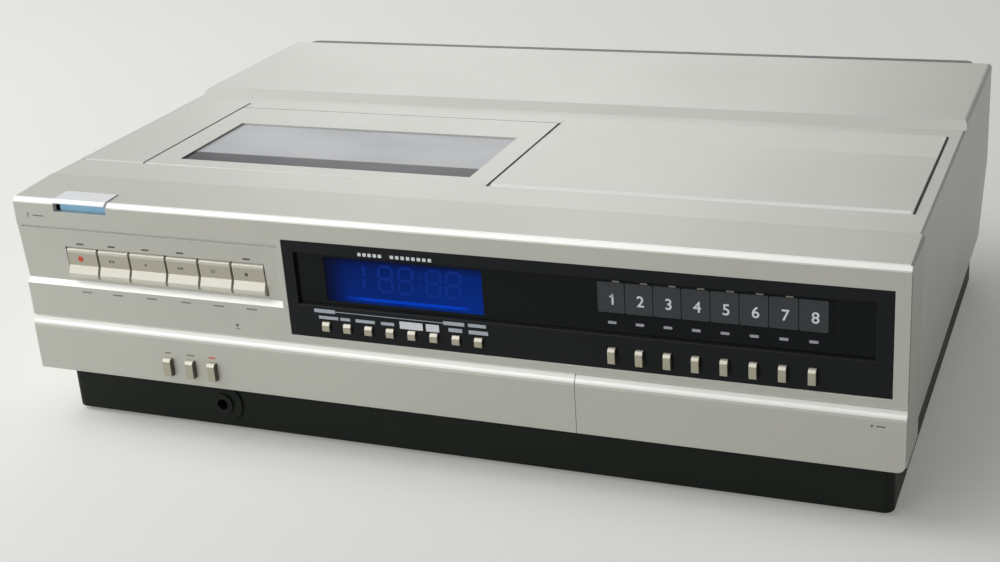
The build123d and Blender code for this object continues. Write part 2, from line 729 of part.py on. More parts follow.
# Cassette carrier: two channels of folded sheet with a stop behind, open below and in front
side_left = carrier_centre - carrier_half - carrier_sheet
side_right = carrier_centre + carrier_half + carrier_sheet
with BuildPart() as cassette_carrier:
    block((side_left, side_right), (carrier_front, carrier_back), (slot_low - carrier_sheet, lid_low))
    block((side_left + carrier_sheet, side_right - carrier_sheet),
          (carrier_front - 1, carrier_back - carrier_sheet), (slot_low, slot_top), Mode.SUBTRACT)
    block((side_left + carrier_lip, side_right - carrier_lip), (carrier_front - 1, carrier_back + 1),
          (slot_low - far, slot_low + 1), Mode.SUBTRACT)
    block((side_left + 3 * carrier_lip, side_right - 3 * carrier_lip),
          (carrier_back - 2 * carrier_sheet, carrier_back + 1), (slot_low - far, slot_top - 8),
           Mode.SUBTRACT)
    block((pane_left + pane_ledge + 6, pane_right - pane_ledge - 6), (pane_front + 1, pane_back - 1),
          (slot_top - 1, lid_low + 1), Mode.SUBTRACT)
    for x in (side_left - 7, side_right):
        block((x, x + 7), (carrier_front + 4, carrier_back - 8), (slot_top, lid_low))
save(cassette_carrier, "cassette_carrier")

# Side frame on the deck, with the pins that the lid turns on
eye_radius = top_height - cover_sheet - running_gap - hinge_height
frame_left = lid_hole[0][0] - 4.5
frame_right = lid_hole[0][1] + 1.5
with BuildPart() as lift_frame:
    for x, foot in ((frame_left, (frame_left, frame_left + 14)),
                    (frame_right, (frame_right - 11, frame_right + 3))):
        block(foot, (hinge_depth - 24, hinge_depth + 6), (deck_height, deck_height + 1.5))
        side_prism((x, x + 3.0),
                   [(hinge_depth - 24, deck_height), (hinge_depth + 6, deck_height),
                    (hinge_depth + eye_radius, hinge_height), (hinge_depth - eye_radius, hinge_height)])
        cross_rod((x, x + 3.0), (hinge_depth, hinge_height), eye_radius)
    cross_rod((frame_left, lid_left + hinge_pin_length / 2 - 0.5), (hinge_depth, hinge_height),
              hinge_pin_radius)
    cross_rod((lid_right - hinge_pin_length / 2 + 0.5, frame_right + 3.0), (hinge_depth, hinge_height),
              hinge_pin_radius)
save(lift_frame, "lift_frame")

# Deck plate
with BuildPart() as deck_plate:
    block((deck_left, deck_right), (deck_front, deck_back), (deck_low, deck_height))
    ring_rail = (ring_inner + ring_outer) / 2
    post(drum_place, ring_rail + 2, (deck_height, deck_height + ring_lift - running_gap))
    post(drum_place, ring_rail - 2, (deck_height, deck_height + ring_lift + 1), Mode.SUBTRACT)
    post(capstan_place, 6.0, (deck_height, deck_height + 6))
    post(capstan_place, capstan_radius + shaft_gap, (deck_low - 1, deck_height + 7), Mode.SUBTRACT)
    for place in (supply_place, takeup_place):
        post(place, 5.0, (deck_height, deck_height + 1.7))
        post(place, 2.0 + shaft_gap, (deck_low - 1, deck_height + 7), Mode.SUBTRACT)
    post(motor_place, 3.0, (deck_low - 1, deck_height + 1), Mode.SUBTRACT)
    post(drum_place, 5.0, (deck_low - 1, deck_height + 1), Mode.SUBTRACT)
    post(pinch_pivot, 2.5, (deck_height, deck_height + 26))
    post(pinch_pivot, 5.0, (deck_height, deck_height + 8))
save(deck_plate, "deck_plate")

# Head drum: the lower half stands on the deck, the upper half turns above it
with BuildPart() as lower_drum:
    post(drum_place, drum_radius, (deck_height, deck_height + lower_drum_height))
    post(drum_place, 5.0, (deck_low, deck_height + 1))
    post(drum_place, 3.0 + shaft_gap, (deck_low - 1, deck_height + lower_drum_height + 1), Mode.SUBTRACT)
save(lower_drum, "lower_drum")

upper_low = deck_height + lower_drum_height + drum_slit
upper_top = upper_low + upper_drum_height
with BuildPart() as upper_drum:
    post(drum_place, drum_radius, (upper_low, upper_top))
    post(drum_place, drum_radius - 5, (upper_top - 3, upper_top + 1), Mode.SUBTRACT)
    post(drum_place, 9.0, (upper_top - 4, upper_top - 0.5))
    post(drum_place, 3.0, (deck_low - 4, upper_low + 1))
    with Locations((across(drum_place[0]), back(drum_place[1]), up(upper_top - 4))):
        with PolarLocations(24, 6):
            Cylinder(3.0, 8.0, mode=Mode.SUBTRACT)
save(upper_drum, "upper_drum")

# Loading ring with the posts that draw the tape round the drum
ring_low = deck_height + ring_lift
with BuildPart() as loading_ring:
    post(drum_place, ring_outer, (ring_low, ring_low + ring_thick))
    post(drum_place, ring_inner, (ring_low - 1, ring_low + ring_thick + 1), Mode.SUBTRACT)
    ring_radius = (ring_inner + ring_outer) / 2
    for angle in (255, 273, 291, 309):
        spot = from_drum((ring_radius * cos(radians(angle)), ring_radius * sin(radians(angle))))
        post(spot, 3.0, (ring_low + ring_thick - 1, ring_low + ring_thick + 3))
        post(spot, 1.8, (ring_low + ring_thick, ring_low + ring_thick + 18))
save(loading_ring, "loading_ring")

# Reel tables: a flanged disc and a three-winged spindle
for name, place in (("supply_reel", supply_place), ("takeup_reel", takeup_place)):
    with BuildPart() as reel:
        post(place, reel_radius, (deck_height + 2, deck_height + 5.5))
        post(place, 8.0, (deck_height + 5.5, slot_low - carrier_sheet - 0.5))
        post(place, 5.0, (deck_height + 5.5, slot_low + 9))
        with Locations((across(place[0]), back(place[1]), up(slot_low + 4))):
            with PolarLocations(4.6, 3):
                Box(3.4, 1.6, 8.0)
        with Locations((across(place[0]), back(place[1]), up(slot_low + 10.5))):
            Cone(5.0, 2.5, 3.0)
        post(place, 2.0, (deck_low - 3, deck_height + 3))
    save(reel, name)

# Fixed posts and the sound head
with BuildPart() as guide_posts:
    for offset in guide_offsets:
        post(from_drum(offset), 4.0, (deck_height, deck_height + 8))
        post(from_drum(offset), 2.2, (deck_height + 8, deck_height + guide_height))
        post(from_drum(offset), 3.6, (deck_height + guide_height, deck_height + guide_height + 2))
    head_place = from_drum(head_offset)
    for trim, heights in ((0, (0, 8)), (1, (8, guide_height))):
        half_width = head_size[0] / 2 - trim
        half_depth = head_size[1] / 2 - trim
        block((head_place[0] - half_width, head_place[0] + half_width),
              (head_place[1] - half_depth, head_place[1] + half_depth),
              (deck_height + heights[0], deck_height + heights[1]))
save(guide_posts, "guide_posts")

# Capstan and flywheel
flywheel_top = deck_height - flywheel_drop + flywheel_thick
flywheel_low = flywheel_top - flywheel_thick
with BuildPart() as capstan_flywheel:
    post(capstan_place, capstan_radius, (flywheel_low - 4, deck_height + capstan_top))
    post(capstan_place, flywheel_radius, (flywheel_low, flywheel_top))
save(capstan_flywheel, "capstan_flywheel")

with BuildPart() as capstan_motor:
    post(motor_place, motor_radius, (flywheel_top + 2, deck_low))
    post(motor_place, 2.0 + shaft_gap, (flywheel_top + 1, deck_low - 4), Mode.SUBTRACT)
save(capstan_motor, "capstan_motor")

with BuildPart() as motor_pulley:
    post(motor_place, pulley_radius, (flywheel_low, flywheel_top))
    post(motor_place, 2.0, (flywheel_top - 1, deck_low - 4 - running_gap))
save(motor_pulley, "motor_pulley")


def belt_outline(grow, height):
    with BuildSketch(Plane.XY.offset(up(height))) as outline:
        with Locations((across(capstan_place[0]), back(capstan_place[1]))):
            Circle(flywheel_radius + running_gap + grow)
        with Locations((across(motor_place[0]), back(motor_place[1]))):
            Circle(pulley_radius + running_gap + grow)
        make_hull()
    return outline.sketch


belt_low = flywheel_low + (flywheel_thick - belt_width) / 2
with BuildPart() as drive_belt:
    extrude(belt_outline(belt_thick, belt_low), amount=belt_width)
    extrude(belt_outline(0, belt_low - 1), amount=belt_width + 2, mode=Mode.SUBTRACT)
save(drive_belt, "drive_belt")

# Pinch roller arm, swung clear of the capstan
pinch_gap = capstan_radius + pinch_roller_radius + running_gap
pinch_span = hypot(capstan_place[0] - pinch_pivot[0], capstan_place[1] - pinch_pivot[1])
bearing = degrees(atan2(capstan_place[1] - pinch_pivot[1], capstan_place[0] - pinch_pivot[0]))
opening = degrees(acos((pinch_span ** 2 + pinch_arm_length ** 2 - pinch_gap ** 2)
                       / (2 * pinch_span * pinch_arm_length)))
rest_angle = bearing - opening - pinch_swing
roller = (pinch_pivot[0] + pinch_arm_length * cos(radians(rest_angle)),
          pinch_pivot[1] + pinch_arm_length * sin(radians(rest_angle)))
with BuildPart() as pinch_arm:
    with BuildSketch(Plane.XY.offset(up(deck_height + 8.4))) as arm_outline:
        with Locations((across(pinch_pivot[0]), back(pinch_pivot[1]))):
            Circle(6)
        with Locations((across(roller[0]), back(roller[1]))):
            Circle(4)
        make_hull()
    extrude(arm_outline.sketch, amount=2.5)
    post(pinch_pivot, 5.0, (deck_height + 8.4, deck_height + 22))
    post(pinch_pivot, 2.5 + shaft_gap, (deck_height + 8, deck_height + 23), Mode.SUBTRACT)
    post(roller, 1.5, (deck_height + 10, deck_height + 27))
    post(roller, pinch_roller_radius, (deck_height + 11.4, deck_height + 26))
save(pinch_arm, "pinch_arm")

swing = radians(lid_swing)
mouth_lift = (hinge_depth - carrier_front) * sin(swing) - (hinge_height - slot_low) * cos(swing)
print("carrier mouth above the cover with the lid up", round(hinge_height + mouth_lift - top_height, 1))

# Boards, tuner and transformer
tuner_right = case_width - tuner_from_right
tuner_left = tuner_right - tuner_size[0]
chip_place = (board_range[0][0] + 72, board_range[1][1] - 36)
can_first = board_range[0][0] + 22
can_count = 5
can_pitch = (tuner_left - 18 - can_first) / (can_count - 1)
with BuildPart() as main_board:
    block(*board_range, (board_height, board_top))
    with Locations((across(chip_place[0]), back(chip_place[1]), up(board_top + 2))):
        with GridLocations(30, 22, 4, 2):
            Box(20, 8, 4)
    for i in range(can_count):
        post((can_first + can_pitch * i, board_front_edge + 30 + 4 * i), 5.0, (board_top, board_top + 14))
save(main_board, "main_board")

with BuildPart() as tuner_module:
    block((tuner_left, tuner_right), (tuner_front, tuner_front + tuner_size[1]),
          (board_top, board_top + tuner_size[2]))
    for i in range(3):
        cross_rod((tuner_left - 4, tuner_left + 2),
                  (tuner_front + 18 + 24 * i, board_top + tuner_size[2] / 2), 4.0)
save(tuner_module, "tuner_module")

iron_right = case_width - transformer_from_right
iron_left = iron_right - transformer_foot[0]
iron_back = case_depth - transformer_rear_gap
iron_front = iron_back - transformer_foot[1]
with BuildPart() as power_transformer:
    block((iron_left, iron_right), (iron_front, iron_back), (floor_height, floor_height + 2))
    block((iron_left + 6, iron_right - 6), (iron_front + 6, iron_back - 6),
          (floor_height + 2, floor_height + transformer_tall))
    block((iron_left + 12, iron_right - 12), (iron_front - winding_out, iron_back + winding_out),
          (floor_height + 10, floor_height + transformer_tall - 8))
save(power_transformer, "power_transformer")

with BuildPart() as control_board:
    block((window_left, window_right - 2), (board_front, board_front + board_thick),
          (cove_height + 4, window_high))
    block((push_places[0] - 20, window_left + 1), (board_front, board_front + board_thick),
          (tray_rim + running_gap, push_height + 12))
    block((window_left - 8, window_left + 4), (board_front, board_front + board_thick),
          (tray_rim + running_gap, cove_height + 10))
    for x, height in ([(x, channel_height) for x in channel_places]
                      + [(x, timer_height) for x in timer_places]
                      + [(x, push_height) for x in push_places]):
        block((x - switch_half, x + switch_half), (switch_face, board_front),
              (height - switch_half, height + switch_half))
save(control_board, "control_board")

# Rear sockets and the front jack
plate_edge = 0.2
with BuildPart() as rear_sockets:
    block((socket_plate[0][0] + plate_edge, socket_plate[0][1] - plate_edge),
          (rear_face - 1, rear_face + plate_edge),
          (socket_plate[1][0] + plate_edge, socket_plate[1][1] - plate_edge))
    for x in aerial_places:
        depth_rod((x, socket_height), (rear_face - 1, rear_face + socket_reach), aerial_radius + 1.75)
        depth_rod((x, socket_height), (rear_face - 4, rear_face + socket_reach + 1), aerial_radius,
                  Mode.SUBTRACT)
    for x in phono_places:
        depth_rod((x, socket_height), (rear_face, rear_face + 2), phono_radius + 1.85)
        depth_rod((x, socket_height), (rear_face, rear_face + socket_reach), phono_radius)
        depth_rod((x, socket_height), (rear_face + 1, rear_face + socket_reach + 1), 1.7, Mode.SUBTRACT)
save(rear_sockets, "rear_sockets")

with BuildPart() as front_jack:
    depth_rod(jack_place, (plinth_front - 1.2, plinth_front), jack_ring)
    depth_rod(jack_place, (plinth_front - 2.6, plinth_front - 1.2), 6.2)
    depth_rod(jack_place, (plinth_front, plinth_front + 16), jack_body)
    depth_rod(jack_place, (plinth_front - 4, plinth_front + 14), jack_bore, Mode.SUBTRACT)
save(front_jack, "front_jack")
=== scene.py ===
import math

import bmesh
import bpy
from mathutils import Matrix, Vector


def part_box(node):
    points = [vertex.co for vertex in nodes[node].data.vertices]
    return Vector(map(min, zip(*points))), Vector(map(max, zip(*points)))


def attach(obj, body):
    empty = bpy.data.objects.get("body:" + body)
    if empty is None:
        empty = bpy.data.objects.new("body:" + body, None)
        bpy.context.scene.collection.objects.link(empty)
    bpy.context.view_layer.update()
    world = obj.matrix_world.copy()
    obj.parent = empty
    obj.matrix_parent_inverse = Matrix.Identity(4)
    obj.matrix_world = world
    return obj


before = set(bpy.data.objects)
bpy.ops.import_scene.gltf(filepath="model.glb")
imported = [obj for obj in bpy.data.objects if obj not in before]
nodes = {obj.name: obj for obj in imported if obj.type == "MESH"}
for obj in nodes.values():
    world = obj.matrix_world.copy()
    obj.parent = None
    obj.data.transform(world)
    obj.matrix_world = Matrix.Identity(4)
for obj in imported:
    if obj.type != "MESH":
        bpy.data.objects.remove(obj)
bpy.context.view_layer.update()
mm = 0.001
print("frame loaded,", len(nodes), "pieces")

# Places are in millimetres: across from the left side, back from the front face, up from the silver's foot
lowerStep = 1.5  # the lower front stands this far out of the face
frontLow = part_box("front_panel")[0]
leftSide = frontLow.x
faceLine = frontLow.y + lowerStep * mm
silverFoot = frontLow.z


def at(across, back, up):
    return Vector((leftSide + across * mm, faceLine + back * mm, silverFoot + up * mm))


def onFront(back):
    return lambda u, v, w: at(u, back - w, v)


def onTop(up):
    return lambda u, v, w: at(u, v, up + w)


def onRear(back):
    return lambda u, v, w: at(u, back + w, v)


def onRightSide(across):
    return lambda u, v, w: at(across + w, u, v)


def onSlope(low, high):
    # a face of the front that leans: low and high are (back, up) at its two edges
    lean = (high[0] - low[0]) / (high[1] - low[1])
    return lambda u, v, w: at(u, low[0] + (v - low[1]) * lean - w, v)


# Camera, at the photograph's place
camera = {
    "place": (0.328448, -0.819664, 0.402872),
    "lens": 57.28,
    "sensor": 36.0,
    "turn": 0.408467,
    "tilt": -0.387993,
    "roll": -0.0728456,
    "near": 0.05,
    "far": 20.0,
}


def setCamera():
    data = bpy.data.cameras.new("photoCamera")
    data.lens = camera["lens"]
    data.sensor_width = camera["sensor"]
    data.clip_start = camera["near"]
    data.clip_end = camera["far"]
    turn, tilt, roll = camera["turn"], camera["tilt"], camera["roll"]
    ahead = Vector((-math.sin(turn) * math.cos(tilt), math.cos(turn) * math.cos(tilt), math.sin(tilt)))
    right = ahead.cross(Vector((0, 0, 1))).normalized()
    above = right.cross(ahead)
    rolledRight = right * math.cos(roll) + above * math.sin(roll)
    rolledAbove = above * math.cos(roll) - right * math.sin(roll)
    eye = bpy.data.objects.new("photoCamera", data)
    bpy.context.scene.collection.objects.link(eye)
    axes = Matrix((rolledRight, rolledAbove, -ahead)).transposed().to_4x4()
    eye.matrix_world = Matrix.Translation(camera["place"]) @ axes
    bpy.context.scene.camera = eye


setCamera()
print("camera set")


# Node trees: a Wire is a socket that sums can be written with, and Tree.add makes any node
class Wire:
    def __init__(self, tree, socket):
        self.tree = tree
        self.socket = socket

    def sum(self, operation, other, swapped=False):
        first, second = (other, self) if swapped else (self, other)
        return self.tree.add("ShaderNodeMath", {"operation": operation}, {0: first, 1: second})

    def __add__(self, other):
        return self.sum("ADD", other)

    def __radd__(self, other):
        return self.sum("ADD", other, True)

    def __sub__(self, other):
        return self.sum("SUBTRACT", other)

    def __rsub__(self, other):
        return self.sum("SUBTRACT", other, True)

    def __mul__(self, other):
        return self.sum("MULTIPLY", other)

    def __rmul__(self, other):
        return self.sum("MULTIPLY", other, True)

    def __gt__(self, other):
        return self.sum("GREATER_THAN", other)

    def __lt__(self, other):
        return self.sum("LESS_THAN", other)


class Tree:
    def __init__(self, nodeTree):
        self.nodeTree = nodeTree

    def add(self, kind, settings=None, values=None, output=None):
        node = self.nodeTree.nodes.new(kind)
        for name, value in (settings or {}).items():
            setattr(node, name, value)
        for name, value in (values or {}).items():
            self.feed(node, name, value)
        if output is None:
            return Wire(self, next((s for s in node.outputs if s.enabled), None))
        return Wire(self, next(s for s in node.outputs if s.enabled and s.name == output))

    def feed(self, node, name, value):
        socket = node.inputs[name] if isinstance(name, int) else next(
            s for s in node.inputs if s.enabled and s.name == name)
        if isinstance(value, Wire):
            self.nodeTree.links.new(value.socket, socket)
        else:
            socket.default_value = value

    def split(self, vector):
        parts = self.add("ShaderNodeSeparateXYZ", values={"Vector": vector}).socket.node
        return [Wire(self, output) for output in parts.outputs]


def colour(red, green, blue):
    # a colour as it looks on a screen, 0 to 255, in the shader's own scale
    def plain(value):
        share = value / 255
        return share / 12.92 if share <= 0.04045 else ((share + 0.055) / 1.055) ** 2.4

    return (plain(red), plain(green), plain(blue), 1.0)


edgeAlike = (0.995, 0.9)  # how alike the two normals are off an edge and on it
bevelSamples = 6
coatRoughness = 0.1


class Finish(Tree):
    def __init__(self, name, tone, roughness=0.5, metallic=0.0, gloss=0.5, coat=0.0):
        self.material = bpy.data.materials.new(name)
        self.material.use_nodes = True
        super().__init__(self.material.node_tree)
        self.skin = self.nodeTree.nodes["Principled BSDF"]
        self.set("Base Color", tone)
        self.set("Roughness", roughness)
        self.set("Metallic", metallic)
        self.set("Specular IOR Level", gloss)
        self.set("Coat Weight", coat)
        self.set("Coat Roughness", coatRoughness)
        self.spot = self.add("ShaderNodeTexCoord", output="Object")

    def set(self, name, value):
        self.feed(self.skin, name, value)

    def places(self):
        # across, back and up over the surface, in millimetres
        origin = at(0, 0, 0)
        moved = self.add("ShaderNodeVectorMath", {"operation": "SUBTRACT"}, {0: self.spot, 1: origin})
        scaled = self.add("ShaderNodeVectorMath", {"operation": "SCALE"}, {0: moved, "Scale": 1 / mm})
        return self.split(scaled)

    def noise(self, scale, detail=2.0, stretch=(1, 1, 1)):
        where = self.add("ShaderNodeMapping", values={"Vector": self.spot, "Scale": stretch})
        return self.add("ShaderNodeTexNoise", values={"Vector": where, "Scale": scale, "Detail": detail},
                        output="Fac")

    def mix(self, share, first, second):
        return self.add("ShaderNodeMix", {"data_type": "RGBA"}, {"Factor": share, "A": first, "B": second})

    def ease(self, value, low, high, start=0.0, end=1.0):
        return self.add("ShaderNodeMapRange", values={
            "Value": value, "From Min": low, "From Max": high, "To Min": start, "To Max": end})

    def roundEdges(self, radius):
        # a small radius on every edge, in the normals alone
        return self.add("ShaderNodeBevel", {"samples": bevelSamples}, {"Radius": radius * mm})

    def relief(self, height, strength, depth, normal=None):
        # strength and depth come from a finish's relief, the depth in millimetres
        values = {"Height": height, "Strength": strength, "Distance": depth * mm}
        if normal is not None:
            values["Normal"] = normal
        self.set("Normal", self.add("ShaderNodeBump", values=values))

    def edgeMask(self, rounded):
        # 1 along the edges, where the rounded normal leaves the true one
        true = self.add("ShaderNodeNewGeometry", output="Normal")
        along = self.add("ShaderNodeVectorMath", {"operation": "DOT_PRODUCT"}, {0: rounded, 1: true}, "Value")
        return self.ease(along, *edgeAlike)


def inRange(value, low, high):
    return (value > low) * (value < high)


def shaded(tone, share):
    return tuple(min(1.0, part * share) for part in tone[:3]) + (1.0,)


# Silver paint of the front and the cover: fine metal flecks, faint clouds, brighter worn edges
silver = {
    "front": colour(199, 199, 190),
    "cover": colour(206, 206, 199),
    "edge": colour(232, 232, 226),
    # the next three are painted colours: highlights for the ledges and cove, shade for seams and edge lines
    "bright": colour(247, 247, 243),
    "coveHighlight": colour(230, 230, 224),
    "seamShade": colour(84, 84, 79),
    "shade": 0.95,
    "roughness": 0.4,
    "roughnessSpread": 0.06,
    "metallic": 0.2,
    "fleckScale": 5200,
    "fleckShare": 0.35,
    "relief": (0.25, 0.012),
    "cloudScale": 11,
    "cloudSpan": (0.45, 0.85),
    "wearSpan": (0.3, 0.6),
    "edgeWear": (0.35, 0.85),
    "edgeRadius": 0.35,
}

# Where the front gets painted highlights on its nose, cove, ledge and top bevel, and painted shade along the
# seam round its right end and its top right corner
frontLightMarks = {
    "noseUp": (27.2, 29.2),
    "noseBack": 1.3,
    "coveUp": (29.2, 32.3),
    "coveBack": (0.03, 1.4),
    "ledgeUp": (51.2, 53.9),
    "ledgeBack": 2.7,
    "ledgeEnd": 162.0,
    "bevelLow": 99.2,
    "bevelBack": 3.6,
    "seamLeft": 479.9,
    "seamBack": (0.6, 2.8),
    "seamUp": (34.0, 98.4),
    "cornerLeft": 478.9,
    "cornerLow": 100.2,
    "cornerFront": 2.4,
    "cornerShare": 0.85,
}


def brightLedges(paint, body):
    across, back, up = paint.places()
    nose = inRange(up, *frontLightMarks["noseUp"]) * (back < frontLightMarks["noseBack"])
    coveHighlight = inRange(up, *frontLightMarks["coveUp"]) * inRange(back, *frontLightMarks["coveBack"])
    ledge = inRange(up, *frontLightMarks["ledgeUp"]) * (across < frontLightMarks["ledgeEnd"]) * (back < frontLightMarks["ledgeBack"])
    bevel = (up > frontLightMarks["bevelLow"]) * (back < frontLightMarks["bevelBack"])
    # painted highlights on the nose, ledge and top bevel, a paler painted highlight on the cove
    lit = paint.mix(coveHighlight, paint.mix(nose + ledge + bevel, body, silver["bright"]), silver["coveHighlight"])
    # painted shade down the seam of the right end and along the top right corner
    seamShade = (inRange(back, *frontLightMarks["seamBack"]) * inRange(up, *frontLightMarks["seamUp"])
            * (across > frontLightMarks["seamLeft"]))
    corner = (across > frontLightMarks["cornerLeft"]) * (up > frontLightMarks["cornerLow"]) * (back > frontLightMarks["cornerFront"])
    return paint.mix(seamShade + corner * frontLightMarks["cornerShare"], lit, silver["seamShade"])


# Marks of the cover, each over a span across, a span back and a height: painted shade down its right edge,
# a painted shadow beside the lid and a painted highlight on the front of the raised panel
coverLightMarks = {
    "edge": {"across": (477.8, 479.25), "back": (-1, 196), "low": 99.4},
    "shadowBesideLid": {"across": (255.3, 256.5), "back": (62, 178), "low": 100},
    "panelFrontHighlight": {"across": (257, 470), "back": (61.9, 64.4), "low": 100},
}
coverLightShares = {"dark": 0.85, "lit": 0.6}


def coverLines(paint, body):
    across, back, up = paint.places()
    edge, shadowBesideLid, panelFrontHighlight = (
        inRange(across, *mark["across"]) * inRange(back, *mark["back"]) * (up > mark["low"])
        for mark in coverLightMarks.values())
    # painted highlight on the front of the raised panel
    lit = paint.mix(panelFrontHighlight * coverLightShares["lit"], body, silver["bright"])
    # painted shade down the right edge and beside the lid
    return paint.mix((edge + shadowBesideLid) * coverLightShares["dark"], lit, silver["seamShade"])


def silverPaint(name, tone, drawLines):
    paint = Finish(name, tone, silver["roughness"], silver["metallic"])
    flecks = paint.noise(silver["fleckScale"], 1.0)
    clouds = paint.noise(silver["cloudScale"], 4.0)
    cloudy = paint.ease(clouds + flecks * silver["fleckShare"], *silver["cloudSpan"])
    body = drawLines(paint, paint.mix(cloudy, tone, shaded(tone, silver["shade"])))
    rounded = paint.roundEdges(silver["edgeRadius"])
    worn = paint.edgeMask(rounded) * paint.ease(clouds, *silver["wearSpan"], *silver["edgeWear"])
    paint.set("Base Color", paint.mix(worn, body, silver["edge"]))
    spread = silver["roughnessSpread"]
    paint.set("Roughness", silver["roughness"] + (clouds - 0.5) * spread + (flecks - 0.5) * spread)
    paint.relief(flecks, *silver["relief"], rounded)
    return paint.material


# Black moulded plastic of the plinth, the rear panel and the preset tray, with a paler strip of painted light
# along its top
black = {
    "tone": colour(19, 25, 19),
    "dust": colour(38, 43, 37),
    "strip": colour(118, 120, 120),
    "litStripUp": 103.0,
    "roughness": (0.42, 0.62),
    "roughnessSpan": (0.6, 1.4),
    "gloss": 0.16,
    "grainScale": 1500,
    "relief": (0.5, 0.06),
    "dustScale": 26,
    "dustSpan": (0.5, 0.85),
    "dustShare": 0.35,
    "edgeRadius": 0.5,
    "edgeShare": 0.25,
}


def blackPlastic(name):
    paint = Finish(name, black["tone"], gloss=black["gloss"])
    grain = paint.noise(black["grainScale"], 2.0)
    dust = paint.noise(black["dustScale"], 6.0)
    rounded = paint.roundEdges(black["edgeRadius"])
    dusty = paint.ease(dust, *black["dustSpan"], 0.0, black["dustShare"])
    share = dusty + paint.edgeMask(rounded) * black["edgeShare"]
    up = paint.places()[2]
    body = paint.mix(share, black["tone"], black["dust"])
    # painted light: everything above the strip's height is paler, as the lit top edge looks
    paint.set("Base Color", paint.mix(up > black["litStripUp"], body, black["strip"]))
    paint.set("Roughness", paint.ease(grain + dust, *black["roughnessSpan"], *black["roughness"]))
    paint.relief(grain, *black["relief"], rounded)
    return paint.material


# Rubber of the feet and the belt
rubber = {
    "dark": colour(24, 24, 24),
    "pale": colour(44, 44, 43),
    "roughness": 0.8,
    "gloss": 0.3,
    "grainScale": 900,
    "relief": (0.4, 0.08),
}


def rubberFinish(name):
    paint = Finish(name, rubber["dark"], rubber["roughness"], gloss=rubber["gloss"])
    grain = paint.noise(rubber["grainScale"], 3.0)
    paint.set("Base Color", paint.mix(grain, rubber["dark"], rubber["pale"]))
    paint.relief(grain, *rubber["relief"])
    return paint.material


# Window moulding: polished in its recess, fine grained along the lower strip
window = {
    "across": (171.4, 465.2),
    "up": (54.5, 82.9),
    "polished": colour(16, 19, 22),
    "grained": colour(27, 29, 31),
    "rim": colour(40, 42, 46),
    "roughness": 0.34,
    "polish": 0.24,
    "hazeRoughness": 0.06,
    "gloss": 0.12,
    "hazeScale": 14,
    "grainScale": 2400,
    "relief": (0.3, 0.02),
    "edgeRadius": 0.3,
    "edgeShare": 0.5,
}


def windowGloss(name):
    paint = Finish(name, window["polished"], gloss=window["gloss"])
    across, back, up = paint.places()
    inside = inRange(across, *window["across"]) * inRange(up, *window["up"])
    haze = paint.noise(window["hazeScale"], 4.0)
    grain = paint.noise(window["grainScale"], 1.0)
    rounded = paint.roundEdges(window["edgeRadius"])
    body = paint.mix(inside, window["grained"], window["polished"])
    paint.set("Base Color", paint.mix(paint.edgeMask(rounded) * window["edgeShare"], body, window["rim"]))
    paint.set("Roughness", window["roughness"] - inside * window["polish"] + haze * window["hazeRoughness"])
    paint.relief(grain * (1 - inside), *window["relief"], rounded)
    return paint.material


# Display filter: deep blue, brighter towards its lower right, with a painted glow over it and a painted
# highlight line along its foot
display = {
    "left": 187.5,
    "right": 274.5,
    "low": 57.0,
    "high": 81.2,
    "front": 2.4,
    "dark": colour(6, 10, 26),
    "deep": colour(4, 16, 62),
    "bright": colour(3, 46, 138),
    "highlightLine": colour(2, 62, 196),
    "roughness": 0.15,
    "gloss": 0.04,
    "paintedGlow": 0.28,
    "hazeScale": 30,
    "least": 0.25,
    "toRight": 0.3,
    "toFoot": 0.35,
    "hazeShare": 0.3,
    "leftFade": 16.0,
    "leftLeast": 0.25,
    "clearLeft": (-2.0, 11.0),
    "clearHigh": (1.5, -4.0),
    "lineUp": (58.8, 60.4),
    "lineStart": (197.0, 211.0),
    "lineEnd": (268.0, 262.0),
}


def filterBlue(name):
    paint = Finish(name, display["deep"], display["roughness"], gloss=display["gloss"])
    across, back, up = paint.places()
    left, high = display["left"], display["high"]
    toRight = paint.ease(across, left, display["right"])
    toFoot = paint.ease(up, high, display["low"])
    haze = paint.noise(display["hazeScale"], 3.0)
    lightness = (display["least"] + toRight * display["toRight"] + toFoot * display["toFoot"]
                 + (haze - 0.5) * display["hazeShare"])
    fromLeft = paint.ease(across, left, left + display["leftFade"], display["leftLeast"], 1.0)
    body = paint.mix(lightness * fromLeft, display["deep"], display["bright"])
    highlightLine = (inRange(up, *display["lineUp"]) * paint.ease(across, *display["lineStart"])
            * paint.ease(across, *display["lineEnd"]))
    clear = (paint.ease(across, *(left + reach for reach in display["clearLeft"]))
             * paint.ease(up, *(high + reach for reach in display["clearHigh"])))
    # painted highlight line along the foot
    lit = paint.mix(clear, display["dark"], paint.mix(highlightLine, body, display["highlightLine"]))
    paint.set("Base Color", lit)
    # painted glow: the filter gives off light of its own colour
    paint.set("Emission Color", lit)
    paint.set("Emission Strength", display["paintedGlow"])
    return paint.material


# Pane of the lid: a dark front strip, then smoked plastic with a pale sheen painted into its colour
pane = {
    "sheenSmoke": colour(184, 186, 189),
    "sheenSmokeDark": colour(172, 175, 180),
    "strip": colour(12, 18, 28),
    "stripLeft": colour(26, 31, 40),
    "stripAcross": (60, 240),
    "stripBack": (89.8, 88.2),
    "edge": colour(122, 124, 122),
    "edgeAcross": (65.6, 61.0),
    "roughness": (0.18, 0.3),
    "roughnessSpan": (0.3, 0.8),
    "gloss": 0.1,
    "hazeScale": 18,
    "hazeStretch": (1, 2.2, 1),
    "hazeSpan": (0.35, 0.7),
}


